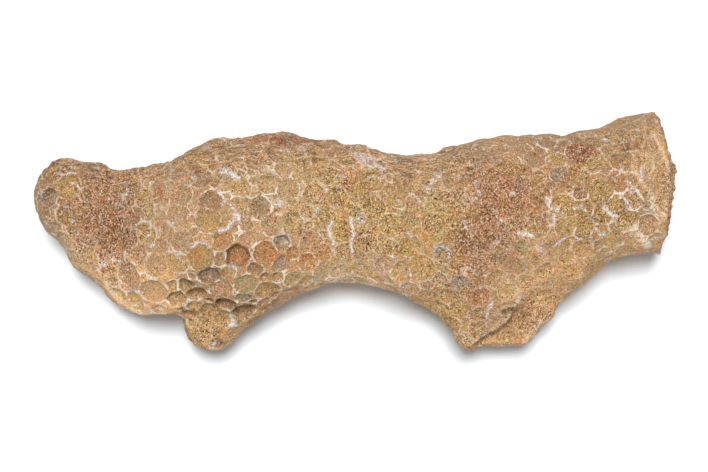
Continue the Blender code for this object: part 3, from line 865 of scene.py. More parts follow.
@dataclass(frozen=True)
class Weathering:
    """How much of each trait there is over the coral.

    Attributes:
        mottle: The size of the mottling.
        mottled: The strength of the mottling on the upper side, and underneath.
        broken: How far noise breaks up a patch.
        first_seed: The first trait's seed.
        local: The traits that show in their own patches alone.
        flecks: The flecks of calcite strewn about, where this passes a level.
        fleck_strength: Their strength.
    """

    mottle: float = 6.0
    mottled: tuple[float, float] = (0.12, 0.6)
    broken: float = 0.5
    first_seed: int = 60
    local: tuple[Trait, ...] = (Trait.APRICOT, Trait.SLATE)
    flecks: Layer = Layer(90, 2.4, 2, 2.2)
    fleck_strength: float = 0.7

    def amount(self, trait: Trait, points: Array, normals: Array) -> Array:
        """Add up a trait's patches on the upper side, and mottle the rest of the coral with it.

        Args:
            trait: The trait wanted.
            points: The skin.
            normals: Its normals.

        Returns:
            The trait's strength, 0 to 1.
        """
        upper = smooth_step(normals[:, 2] * 2.0 + 0.9)
        seed = self.first_seed + list(Trait).index(trait)
        random = smooth_step(Layer(seed, self.mottle, 2, 1.6).at(points) + 0.25) * (trait not in self.local)
        patches = sum(patch.weight(points) for patch in PATCHES[trait])
        broken = 1.0 + self.broken * Grain(seed + 20).at(points, 2.2, 3)
        above, below = self.mottled
        total = (patches * broken + above * random) * upper + below * random * (1 - upper)
        return np.clip(total, 0.0, 1.0)

    def calcite(self, points: Array, normals: Array) -> Array:
        """Take the strongest of the veins at each place, and a few strewn flecks elsewhere."""
        veins = Streak.strongest(VEINS, points, normals)
        flecks = smooth_step(self.flecks.at(points) - 0.85) * self.fleck_strength
        return np.maximum(veins, flecks)


@dataclass(frozen=True)
class Split:
    """The step where the right stump's front has split off, a wavering line in plan with a drop beyond.

    Attributes:
        line: The top of the step.
        drop: How far the split face lies below.
        edge: The width of the step.
        fade: The length over which it dies out at its far end.
        start: The same at its near end.
        waver: How the line strays.
    """

    line: tuple[tuple[float, float], ...] = (
        (17.2, -19.4), (20.9, -17.4), (23.0, -16.2), (25.1, -14.3), (26.3, -12.0), (28.9, -9.5),
        (31.3, -6.7),
    )
    drop: float = 2.0
    edge: float = 0.14
    fade: float = 8.0
    start: float = 1.5
    waver: Layer = Layer(31, 2.0, 2, 0.35)

    def amount(self, points: Array, middle_z: Array) -> Array:
        """Rise from 0 on the line to 1 beyond it, fading towards the line's far end and underneath.

        Args:
            points: The skin.
            middle_z: The height of the trunk's middle at each place.

        Returns:
            The share of the drop at each place.
        """
        xs, ys = np.array(self.line).T
        slope = np.gradient(ys, xs)
        below = np.interp(points[:, 0], xs, ys) - points[:, 1] + self.waver.at(points)
        below /= np.hypot(1.0, np.interp(points[:, 0], xs, slope))
        fade = smooth_step((xs[-1] - points[:, 0]) / self.fade)
        fade = fade * smooth_step((points[:, 0] - xs[0]) / self.start)
        upper = smooth_step((points[:, 2] - middle_z + 2.0) / 3.0)
        return smooth_step(below / self.edge) * fade * upper


# =============================================================================================
# The skin
# =============================================================================================
@dataclass(frozen=True)
class Skin:
    """The finished surface: a closed grid of points in millimetres, and what the material reads.

    Attributes:
        grid: Points as rows by columns by 3, from the rounded tip to the middle of the broken end.
        poles: The two points that close the grid's ends.
        measures: Named attributes, one value or colour for each point of the grid.
    """

    grid: Array
    poles: Array
    measures: dict[str, Array]

    def mesh(self, name: str) -> bpy.types.Mesh:
        """Make the mesh: four-sided faces between rows and three-sided ones round each pole."""
        rows, columns, _ = self.grid.shape
        points = np.vstack([self.grid.reshape(-1, 3), self.poles]) * MM
        first = np.arange(rows * columns).reshape(rows, columns)
        after = np.roll(first, -1, axis=1)
        quads = np.stack([first[:-1], first[1:], after[1:], after[:-1]], axis=-1).reshape(-1, 4)
        tip = np.stack([after[0], np.full(columns, rows * columns), first[0]], axis=-1)
        end = np.stack([first[-1], np.full(columns, rows * columns + 1), after[-1]], axis=-1)
        loops = np.concatenate([quads.ravel(), tip.ravel(), end.ravel()]).astype(np.int32)
        sizes = np.concatenate([np.full(len(quads), 4), np.full(2 * columns, 3)])
        starts = np.concatenate([[0], np.cumsum(sizes)[:-1]]).astype(np.int32)
        mesh = bpy.data.meshes.new(name)
        mesh.vertices.add(len(points))
        mesh.vertices.foreach_set("co", points.astype(np.float32).ravel())
        mesh.loops.add(len(loops))
        mesh.loops.foreach_set("vertex_index", loops)
        mesh.polygons.add(len(sizes))
        mesh.polygons.foreach_set("loop_start", starts)
        mesh.update(calc_edges=True)
        mesh.validate()
        mesh.shade_smooth()
        for label, values in self.measures.items():
            values = np.concatenate([values, values[[0, -1]]])
            if values.ndim == 2:
                values = np.column_stack([values, np.ones(len(values))])
                kind, key = "FLOAT_COLOR", "color"
            else:
                kind, key = "FLOAT", "value"
            layer = mesh.attributes.new(label, kind, "POINT")
            layer.data.foreach_set(key, values.astype(np.float32).ravel())
        return mesh


@dataclass(frozen=True)
class Relief:
    """The fine relief of the skin.

    Attributes:
        lumps: Broad unevenness.
        roughness: Finer unevenness.
        smoothed: The share of it that full wear takes away.
        ledges: The edges of thin layers, drawn out along the trunk.
        wall: How far in from its rim a cup's wall ends.
        terrace: The height of the fine terraces down a deep cup's wall.
        terrace_pitch: The distance from one to the next.
        dish: How far a floor dishes, as a share of the cup's depth.
        rim_rise: How far a fresh rim stands up.
        rim_width: The half width of that rise.
        pits: The noise whose high parts are pits.
        pit_depth: Their depth where it is all porous.
        crack_depth: The depth of a crack.
    """

    lumps: Layer = Layer(21, 7.0, 2, 0.16)
    roughness: Layer = Layer(22, 1.9, 3, 0.12)
    smoothed: float = 0.4
    ledges: Layer = Layer(23, 1.2, 2, 0.3, (6.0, 1.0, 1.0))
    wall: float = 0.6
    terrace: float = 0.05
    terrace_pitch: float = 0.42
    dish: float = 0.25
    rim_rise: float = 0.09
    rim_width: float = 0.26
    pits: Layer = Layer(24, 0.62, 1, 3.0)
    pit_depth: float = 0.3
    crack_depth: float = 0.35

    def layered(self, points: Array, normals: Array) -> Array:
        """Find the steep back where thin layers show edge on: where the skin faces +Y."""
        return smooth_step((normals[:, 1] - 0.3) / 0.4) * smooth_step((30.0 - points[:, 0]) / 15.0)

    def height(self, points: Array, normals: Array, cups: CupField, porous: Array, worn: Array) -> Array:
        """Sum the roughness, layered ledges, cups, rims, pits and cracks.

        A cup's wall rises over the last part of the way to its rim, as 3t^2 - 2t^3 of the distance in from
        it, with fine terraces where it is deep, and its floor dishes slightly. Pits are the deepest part of
        a fine noise, kept where it is porous.

        Args:
            points: The skin.
            normals: Its normals.
            cups: The cups' measures.
            porous: The share of pits.
            worn: The wear.

        Returns:
            The height along the normal at each place.
        """
        rough = self.lumps.at(points) + self.roughness.at(points) * (1 - self.smoothed * worn)
        ledges = self.layered(points, normals) * np.abs(self.ledges.at(points))
        floor = smooth_step(cups.inside / self.wall)
        wave = self.terrace * np.sin(math.tau * cups.inside / self.terrace_pitch)
        terraces = wave * smooth_step(cups.depth * 2 - 0.6) * floor
        dish = self.dish * cups.depth * (1 - np.clip(cups.share, 0, 1) ** 2)
        hollow = cups.depth * floor + dish + terraces
        ridge = self.rim_rise * (1 - smooth_step(np.abs(cups.inside) / self.rim_width)) * cups.fresh
        pits = self.pit_depth * porous * smooth_step(self.pits.at(points) - 0.5)
        cracks = self.crack_depth * Streak.strongest(CRACKS_AND_LEDGE_SHADOW, points, normals)
        return rough - ledges - hollow + ridge - pits - cracks


@dataclass(frozen=True)
class BrokenEnd:
    """The rough leaning face of the broken end.

    Attributes:
        rows: The rings across it.
        lumps: Its broad unevenness.
        crumble: Its fine unevenness, of which the size counts and not the sign.
        ribs: The noise of the cups' tubes, broken lengthways.
        rib_rise: How far a rib stands out.
        sunk: How far the face lies back, so that the roughness is centred on it.
        lip: The share of the way in over which the roughness grows.
        around: How fast the ribs change round the face.
        outward: How much slower they change on the way out.
    """

    rows: int = 30
    lumps: Layer = Layer(51, 6.0, 3, 0.9)
    crumble: Layer = Layer(52, 1.6, 3, 0.45)
    ribs: Layer = Layer(53, 1.5, 2)
    rib_rise: float = 0.45
    sunk: float = 0.2
    lip: float = 0.12
    around: float = 9.0
    outward: float = 0.03

    def tubes(self, form: CoralForm, points: Array) -> Array:
        """Find the ribs of the cups' tubes, which spread from the trunk's middle."""
        mid_y, _, mid_z, _ = form.section(np.full(len(points), form.break_x))
        dy, dz = points[:, 1] - mid_y, points[:, 2] - mid_z
        reach = np.hypot(dy, dz) + 1e-6
        place = np.stack([dy / reach, dz / reach, reach * self.outward], axis=-1) * self.around
        return self.ribs.at(place) * smooth_step((reach - 1.0) / 4.0)

    def rings(self, form: CoralForm, edge: Array) -> Array:
        """Fill the end with rings that shrink evenly to its middle, on a rough leaning face.

        Args:
            form: The coral's broad shape.
            edge: The trunk's last row.

        Returns:
            The rings, as rows by columns by 3.
        """
        centre = edge.mean(axis=0)
        shares = np.linspace(1.0, 0.0, self.rows + 2)[1:-1]
        rings = centre + (edge - centre) * shares[:, None, None]
        flat = rings.reshape(-1, 3)
        still = np.column_stack([np.zeros(len(flat)), flat[:, 1], flat[:, 2]])
        rough = self.lumps.at(still) + np.abs(self.crumble.at(still))
        rough += self.rib_rise * self.tubes(form, still)
        inward = np.repeat(smooth_step((1 - shares) / self.lip), len(edge))
        face = form.break_face(flat[:, 1], flat[:, 2])
        start = np.tile(edge[:, 0], len(shares))
        flat[:, 0] = start * (1 - inward) + face * inward + (rough - self.sunk) * inward
        return rings


@dataclass(frozen=True)
class Colouring:
    """How the stains, cups, wear and breaks colour the stone, and where light and shade are painted into it.

    Attributes:
        drift: Where the limestone's own tan drifts towards ochre.
        drift_share: How far it drifts.
        stains: Each trait's stain, and how far its full strength turns the stone to it.
        edge_width: How far in from its rim a cup shades.
        floor_width: How far in its floor's own stain starts.
        shading: Where the painted shade on a cup's shaded side starts, as a share of its radius, and how
            soon it is full.
        floor_share: The share of its own stain on a worn cup's floor, and what a fresh one adds.
        tint_share_with_painted_shade: The same share in the open, and what the painted shade on the shaded
            side adds.
        corner: How far in the painted shade at the foot of the wall is reached, where it starts to end, and
            over what length.
        painted_corner_shade: How much darker painted shade makes a deep cup at the foot of its wall.
        painted_shade_dark: How much darker painted shade makes a deep cup on its shaded side.
        uneven: The brightness of the darkest cup, what the lightest adds, and what the rims add.
        edge_highlight_share: How far a pale edge turns to cream, partly the stone's cream rims and partly a
            painted highlight.
        edge_highlight_brightness: How bright that cream is.
        crack_and_ledge_shadow_dark: How much darker a crack is, and the painted shadow under the ledge.
        painted_front_light: How much lighter painted light makes the front, which faces -Y.
        filled: The random number past which a worn cup is filled with porous stone, and how soon it is full.
        filled_share: How porous that filling is, and what wear takes from it.
        rim_white: How white a rim is away from the veined patches.
        rim_gaps: The noise that breaks up the rims.
        porosity: The porosity everywhere, of a porous patch's rims, and what its floors add.
        most_porous: The highest porosity.
    """

    drift: Layer = Layer(71, 5.0, 3)
    drift_share: float = 0.25
    stains: tuple[tuple[Trait, Tint, float], ...] = (
        (Trait.OCHRE, Tint.OCHRE, 1.0),
        (Trait.PINK, Tint.PINK, 0.9),
        (Trait.RUST, Tint.RUST, 0.9),
        (Trait.ORANGE, Tint.ORANGE, 0.8),
        (Trait.PALE, Tint.PALE, 0.6),
        (Trait.DARK, Tint.DARK, 0.6),
        (Trait.APRICOT, Tint.APRICOT, 0.9),
        (Trait.SLATE, Tint.SLATE, 0.8),
    )
    edge_width: float = 0.12
    floor_width: float = 0.35
    shading: tuple[float, float] = (0.05, 0.6)
    floor_share: tuple[float, float] = (0.45, 0.55)
    tint_share_with_painted_shade: tuple[float, float] = (0.45, 0.35)
    corner: tuple[float, float, float] = (0.15, 0.25, 0.6)
    painted_corner_shade: float = 0.25
    painted_shade_dark: float = 0.45
    uneven: tuple[float, float, float] = (0.95, 0.1, 0.1)
    edge_highlight_share: float = 0.8
    edge_highlight_brightness: float = 1.1
    crack_and_ledge_shadow_dark: float = 0.7
    painted_front_light: float = 0.2
    filled: tuple[float, float] = (0.4, 0.3)
    filled_share: tuple[float, float] = (0.5, 0.3)
    rim_white: float = 0.5
    rim_gaps: Layer = Layer(81, 1.7, 2)
    porosity: tuple[float, float, float] = (0.05, 0.5, 0.8)
    most_porous: float = 1.3

    def stain(self, weathering: Weathering, points: Array, normals: Array) -> Array:
        """Mix the limestone's own colour: tan, drawn towards each stain by the amount of its trait."""
        drift = np.clip(self.drift.at(points), 0, 1)[:, None]
        colour = np.repeat(Tint.TAN.light[None, :], len(points), axis=0)
        colour = colour * (1 - self.drift_share * drift) + Tint.OCHRE.light * self.drift_share * drift
        for trait, tint, share in self.stains:
            amount = weathering.amount(trait, points, normals)[:, None] * share
            colour = colour * (1 - amount) + tint.light * amount
        return colour

    def pigment_and_painted_light(self, points: Array, normals: Array, cups: CupField, stain: Array, split: Array) -> Array:
        """Mix the colour of the stone, with painted light and shade in it.

        It is the cup's own stain on its floor, and the limestone's between cups and where a cup is worn.
        Painted shade darkens it by the depth of the cup where the wall meets the floor, and on the shaded
        side. Painted light brightens the front and some pale edges, and a painted shadow lies under the
        ledge.

        Args:
            points: The skin.
            normals: Its normals.
            cups: The cups' measures.
            stain: The limestone's colour.
            split: Where the front has split off.

        Returns:
            The linear colour at each place.
        """
        # Painted shade: a crescent on the side of each cup away from the light, the same way all over the
        # coral, darkened and given more of the floor's stain.
        begin, over = self.shading
        painted_crescent_shade = smooth_step((cups.lean - begin) / over) * smooth_step(cups.inside / self.edge_width)
        floor = smooth_step(cups.inside / self.floor_width)
        own = floor * (self.floor_share[0] + self.floor_share[1] * cups.fresh) * (1 - split)
        own = own * (self.tint_share_with_painted_shade[0] + self.tint_share_with_painted_shade[1] * painted_crescent_shade)
        colour = stain * (1 - own)[:, None] + cups.tint * own[:, None]
        # Painted shade at the foot of a deep cup's wall, multiplied with the crescent's painted shade.
        begin, end, over = self.corner
        corner = smooth_step(cups.inside / begin) * (1 - smooth_step((cups.inside - end) / over))
        deep = np.clip(cups.depth, 0, 1) * (1 - split)
        painted_shade_factor = (1 - self.painted_corner_shade * deep * corner) * (1 - self.painted_shade_dark * deep * painted_crescent_shade)
        least, by_lot, by_rim = self.uneven
        colour = colour * painted_shade_factor[:, None] * (least + by_lot * cups.lot + by_rim * (1 - floor))[:, None]
        # Pale edges: partly cream rims, partly painted highlights along the ledge and the lower edges.
        edges = np.clip(Streak.strongest(PALE_EDGES_AND_HIGHLIGHTS, points, normals), 0, 1)[:, None]
        colour = colour * (1 - self.edge_highlight_share * edges) + Tint.CREAM.light * self.edge_highlight_brightness * edges
        # Cracks darken, and so does the painted shadow under the ledge of the right stump.
        cracks = np.clip(Streak.strongest(CRACKS_AND_LEDGE_SHADOW, points, normals), 0, 1)
        # Painted light: the front, which faces -Y, is made lighter.
        front = smooth_step((-normals[:, 1] - 0.3) / 0.6)
        return colour * ((1 - self.crack_and_ledge_shadow_dark * cracks) * (1 + self.painted_front_light * front))[:, None]

    def pores(self, cups: CupField, worn: Array, porous: Array) -> Array:
        """Find the porosity: of porous patches, most on the cups' floors, and of filled cups."""
        floor = smooth_step(cups.inside / self.floor_width)
        level, over = self.filled
        share, wear_off = self.filled_share
        filled = floor * smooth_step((cups.lot - level) / over) * (1 - 0.6 * cups.fresh)
        least, rims, floors = self.porosity
        total = least + porous * (rims + floors * floor) + filled * (share - wear_off * worn)
        return np.clip(total, 0, self.most_porous)

    def rims(self, points: Array, veined: Array, worn: Array, porous: Array) -> Array:
        """Find how white the rims are: broken by noise, less so where veined, and faint where worn."""
        broken = smooth_step(self.rim_gaps.at(points) * 1.5 + 0.55)
        broken = broken + (1 - broken) * np.clip(veined - 0.8, 0, 1)
        return np.clip(self.rim_white + veined, 0, 1) * broken * (1 - 0.45 * worn) * (1 - 0.3 * porous)


@dataclass(frozen=True)
class CoralSkin:
    """Builds the skin from the form, the cups and the weathering.

    Attributes:
        form: The broad shape.
        calices: The cups.
        weathering: The patches and veins.
        split: The step on the right stump.
        relief: The fine relief.
        end: The broken end.
        colouring: How all this colours the stone.
        spacing: The rows' spacing along the trunk.
        tip_depth: The other half axis of the tip's quarter ellipse, beside its length.
        columns: The number of points round each row.
        upper_share: How much denser the columns are on top than on average.
        easing: How near to the box's walls the skin starts to be eased back.
        worn_below: The height under which the skin is worn.
        end_porosity: The porosity of the broken end.
        end_ribs: How much lighter its ribs are.
    """

    form: CoralForm = CoralForm()
    calices: Calices = Calices()
    weathering: Weathering = Weathering()
    split: Split = Split()
    relief: Relief = Relief()
    end: BrokenEnd = BrokenEnd()
    colouring: Colouring = Colouring()
    spacing: float = 0.265
    tip_depth: float = 8.4
    columns: int = 232
    upper_share: float = 0.34
    easing: float = 0.3
    worn_below: float = 3.0
    end_porosity: float = 0.7
    end_ribs: float = 0.3

    def rows(self) -> Array:
        """Place the rows: by equal angles of the quarter ellipse over the tip, then by equal steps."""
        form = self.form
        quarter = math.pi / 2 * (form.tip_rounding + self.tip_depth) / 2
        angles = np.linspace(0.0, math.pi / 2, int(quarter / self.spacing) + 1)[1:-1]
        tip = form.tip_x + form.tip_rounding * (1 - np.cos(angles))
        start = form.tip_x + form.tip_rounding
        body = np.linspace(start, form.break_x, int((form.break_x - start) / self.spacing) + 1)
        return np.concatenate([tip, body])

    def turns(self) -> Array:
        """Spread the columns: their density is 1 + a sin(2 pi t), highest on top."""
        t = np.linspace(0.0, 1.0, 2001)
        count = t + self.upper_share / math.tau * (1 - np.cos(math.tau * t))
        return np.interp(np.arange(self.columns) / self.columns, count, t)

    def trait(self, trait: Trait, points: Array, normals: Array) -> Array:
        """Look up one trait of the weathering."""
        return self.weathering.amount(trait, points, normals)

    def build(self, low: Array, high: Array) -> Skin:
        """Work out the whole skin.

        Args:
            low: The lowest corner that the skin may reach, in millimetres, in the part's frame.
            high: The highest corner.

        Returns:
            The finished skin, in the part's frame.
        """
        form = self.form
        base = form.skin(self.rows(), self.turns())
        rows = len(base)
        points = base.reshape(-1, 3)
        normals = form.outward(points)
        near_break = smooth_step((points[:, 0] - form.break_x + form.break_reach) / form.break_reach)
        points[:, 0] += (form.break_face(points[:, 1], points[:, 2]) - form.break_x) * near_break
        points = points + normals * form.swell(points)[:, None]
        worn = self.trait(Trait.WORN, points, normals)
        worn = np.maximum(worn, 1 - smooth_step(points[:, 2] / self.worn_below))
        porous = self.trait(Trait.POROUS, points, normals)
        stain = self.colouring.stain(self.weathering, points, normals)
        deep = self.trait(Trait.DEEP, points, normals) * smooth_step(normals[:, 2] * 3.0)
        cups = self.calices.measure(points, normals, worn, deep, stain)
        height = self.relief.height(points, normals, cups, porous, worn)
        skin = points + normals * height[:, None]
        middle_z = form.section(skin[:, 0])[2]
        split = self.split.amount(skin, middle_z)
        skin[:, 2] -= self.split.drop * split
        skin = skin.reshape(rows, self.columns, 3)
        face = self.end.rings(form, skin[-1])
        grid = np.concatenate([skin, face])
        veined = self.trait(Trait.VEINED, points, normals)
        outside = {
            # the stone's colour with painted shade in the cups and under the ledge, and painted light on the
            # front and some edges
            "pigment_and_painted_light": self.colouring.pigment_and_painted_light(points, normals, cups, stain, split),
            "rim": cups.inside,
            "rim_white": self.colouring.rims(points, veined, worn, porous) * (1 - split),
            "porosity": self.colouring.pores(cups, worn, porous),
            "calcite": self.weathering.calcite(points, normals),
            "layered": self.relief.layered(points, normals),
            "fracture": split,
        }
        broken = self.broken(face.reshape(-1, 3))
        measures = {name: np.concatenate([values, broken[name]]) for name, values in outside.items()}
        grid = grid - form.origin
        poles = np.stack([grid[0].mean(axis=0), grid[-1].mean(axis=0)])
        poles[0, 0] = min(poles[0, 0], grid[0, :, 0].min())
        return Skin(self.kept_in(grid, low, high), self.kept_in(poles, low, high), measures)

    def kept_in(self, points: Array, low: Array, high: Array) -> Array:
        """Ease points back inside a box, so that their relief is kept and not cut flat.

        The distance u in from each wall becomes (u + root of u^2 + s^2) / 2, which is never under nought.

        Args:
            points: The points.
            low: The box's lowest corner.
            high: Its highest corner.

        Returns:
            The points, inside the box.
        """
        for wall, way in ((low, 1.0), (high, -1.0)):
            depth = (points - wall) * way
            points = wall + way * (depth + np.sqrt(depth**2 + self.easing**2)) / 2
        return np.clip(points, low, high)

    def broken(self, points: Array) -> dict[str, Array]:
        """Gather what the material reads on the broken end: rough porous stone with no cups.

        Args:
            points: The broken end's points.

        Returns:
            The attributes by name.
        """
        normals = np.tile((1.0, 0.0, 0.0), (len(points), 1))
        none = np.zeros(len(points))
        ribs = 1 + self.end_ribs * self.end.tubes(self.form, points)
        return {
            "pigment_and_painted_light": self.colouring.stain(self.weathering, points, normals) * ribs[:, None],
            "rim": none - 1.0,
            "rim_white": none,
            "porosity": none + self.end_porosity,
            "calcite": self.weathering.calcite(points, normals),
            "layered": none,
            "fracture": none + 1.0,
        }


# =============================================================================================
# Finishes
# =============================================================================================
class NodeBench:
    """Adds and joins the nodes of one material. Its place is where the shading point is on the object."""

    def __init__(self, material: bpy.types.Material) -> None:
        """Start on a material's empty tree.

        Args:
            material: The material to work on.
        """
        material.use_nodes = True
        self.tree = material.node_tree
        self.tree.nodes.clear()
        self.place = self.add("ShaderNodeTexCoord").outputs["Object"]

    def add(self, kind: str, inputs: dict | None = None, **settings: object) -> bpy.types.Node:
        """Add a node, set its options, and set or join its inputs.

        Args:
            kind: Blender's name for the node.
            inputs: Values or sockets by input name or index.
            **settings: The node's own options.

        Returns:
            The node.
        """
        node = self.tree.nodes.new(kind)
        for name, value in settings.items():
            setattr(node, name, value)
        for key, value in (inputs or {}).items():
            if isinstance(value, bpy.types.NodeSocket):
                self.tree.links.new(value, node.inputs[key])
            else:
                node.inputs[key].default_value = value
        return node

    def sum(self, operation: str, *values: object) -> bpy.types.NodeSocket:
        """Work out one sum of numbers."""
        return self.add("ShaderNodeMath", dict(enumerate(values)), operation=operation).outputs[0]

    def times(self, a: object, b: object) -> bpy.types.NodeSocket:
        """Multiply two numbers."""
        return self.sum("MULTIPLY", a, b)

    def ramp(self, value: object, low: float, high: float, out: tuple = (0.0, 1.0)) -> bpy.types.NodeSocket:
        """Map a range smoothly onto another, held at both ends."""
        inputs = {"Value": value, "From Min": low, "From Max": high, "To Min": out[0], "To Max": out[1]}
        return self.add("ShaderNodeMapRange", inputs, interpolation_type="SMOOTHSTEP").outputs["Result"]

    def noise(
        self, size: float, detail: float = 2.0, rough: float = 0.6, place: object = None
    ) -> bpy.types.NodeSocket:
        """Make noise with features of this size in millimetres, here or at another place."""
        inputs = {"Vector": place or self.place, "Scale": 1 / (size * MM)}
        inputs.update({"Detail": detail, "Roughness": rough})
        return self.add("ShaderNodeTexNoise", inputs).outputs["Fac"]

    def scale(self, colour: object, factor: object) -> bpy.types.NodeSocket:
        """Brighten or darken a colour by a factor."""
        return self.add("ShaderNodeVectorMath", {0: colour, "Scale": factor}, operation="SCALE").outputs[0]

    def cells(self, size: float) -> bpy.types.Node:
        """Part space into random cells of this size in millimetres."""
        inputs = {"Vector": self.place, "Scale": 1 / (size * MM), "Randomness": 1.0}
        return self.add("ShaderNodeTexVoronoi", inputs, feature="F1")

    def lot(self, cells: bpy.types.Node, channel: int) -> bpy.types.NodeSocket:
        """Take one random number for each cell, 0 to 1."""
        return self.add("ShaderNodeSeparateColor", {0: cells.outputs["Color"]}).outputs[channel]

    def filter(self, colour: object, through: tuple[float, float, float]) -> bpy.types.NodeSocket:
        """Multiply a colour by another, channel by channel."""
        return self.add("ShaderNodeVectorMath", {0: colour, 1: through}, operation="MULTIPLY").outputs[0]

    def drawn_out(self, size: float, reach: float, ratio: float) -> bpy.types.NodeSocket:
        """Push places about by noise, as far as the reach, and squeeze X to draw a pattern out along it."""
        inputs = {"Vector": self.place, "Scale": 1 / (size * MM), "Detail": 1.0}
        push = self.add("ShaderNodeTexNoise", inputs).outputs["Color"]
        middle = {0: push, 1: (0.5, 0.5, 0.5)}
        centred = self.add("ShaderNodeVectorMath", middle, operation="SUBTRACT").outputs[0]
        pushed = {0: self.scale(centred, 4 * reach * MM), 1: self.place}
        return self.filter(self.add("ShaderNodeVectorMath", pushed).outputs[0], (1 / ratio, 1.0, 1.0))

    def mix(self, share: object, a: object, b: object) -> bpy.types.NodeSocket:
        """Mix two colours."""
        node = self.add("ShaderNodeMix", {0: share}, data_type="RGBA")
        for key, value in ((6, a), (7, b)):
            if isinstance(value, bpy.types.NodeSocket):
                self.tree.links.new(value, node.inputs[key])
            else:
                node.inputs[key].default_value = (*value, 1.0)
        return node.outputs[2]

    def read(self, name: str, output: str = "Fac") -> bpy.types.NodeSocket:
        """Read an attribute of the mesh, as a number or as a colour."""
        return self.add("ShaderNodeAttribute", attribute_name=name).outputs[output]

    def finish(self, inputs: dict) -> None:
        """Add the shader, with these inputs, and the output."""
        shader = self.add("ShaderNodeBsdfPrincipled", inputs)
        self.add("ShaderNodeOutputMaterial", {"Surface": shader.outputs[0]})


@dataclass(frozen=True)
class PoreFinish:
    """Fine dark pores.

    Attributes:
        sizes: For each size of pore, the size of its cells, its radius as a share of that, and the share of
            the cells that have a pore where it is all porous.
        core: The share of a pore's radius at which it is darkest.
        clumps: The size of the clumps of pores, and the least and most that they multiply the porosity by.
        strength: How far a pore turns to its colour.
        colour: The colour deep in a pore.
    """

    sizes: tuple[tuple[float, float, float], ...] = ((0.9, 0.24, 0.35), (0.46, 0.33, 0.75))
    core: float = 0.45
    clumps: tuple[float, float, float] = (1.5, 0.6, 1.2)
    strength: float = 0.75
    colour: tuple[float, float, float] = to_linear(100, 58, 26)

    def mask(self, bench: NodeBench) -> bpy.types.NodeSocket:
        """Find the pores: the middles of random cells, in as many cells as the porosity says."""
        size, *out = self.clumps
        porosity = bench.read("porosity")
        porosity = bench.times(porosity, bench.ramp(bench.noise(size, 3.0), 0.4, 0.6, tuple(out)))
        masks = []
        for spacing, radius, share in self.sizes:
            cells = bench.cells(spacing)
            dot = bench.ramp(cells.outputs["Distance"], radius, radius * self.core)
            kept = bench.sum("LESS_THAN", bench.lot(cells, 0), bench.times(porosity, share))
            masks.append(bench.times(dot, kept))
        return bench.sum("MAXIMUM", *masks)


@dataclass(frozen=True)
class Blotches:
    """Noise in a material, and what a range of it is mapped onto.

    Attributes:
        size: The size of the blotches in millimetres.
        low: The noise at which the mapping starts.
        high: The noise at which it ends.
        out: What those two become.
        detail: The octaves of the noise.
        rough: How strong the finer ones are.
    """

    size: float
    low: float
    high: float
    out: tuple[float, float] = (0.0, 1.0)
    detail: float = 3.0
    rough: float = 0.6

    def draw(self, bench: NodeBench, place: object = None) -> bpy.types.NodeSocket:
        """Add the noise and its mapping to a material, here or at another place."""
        noise = bench.noise(self.size, self.detail, self.rough, place)
        return bench.ramp(noise, self.low, self.high, self.out)


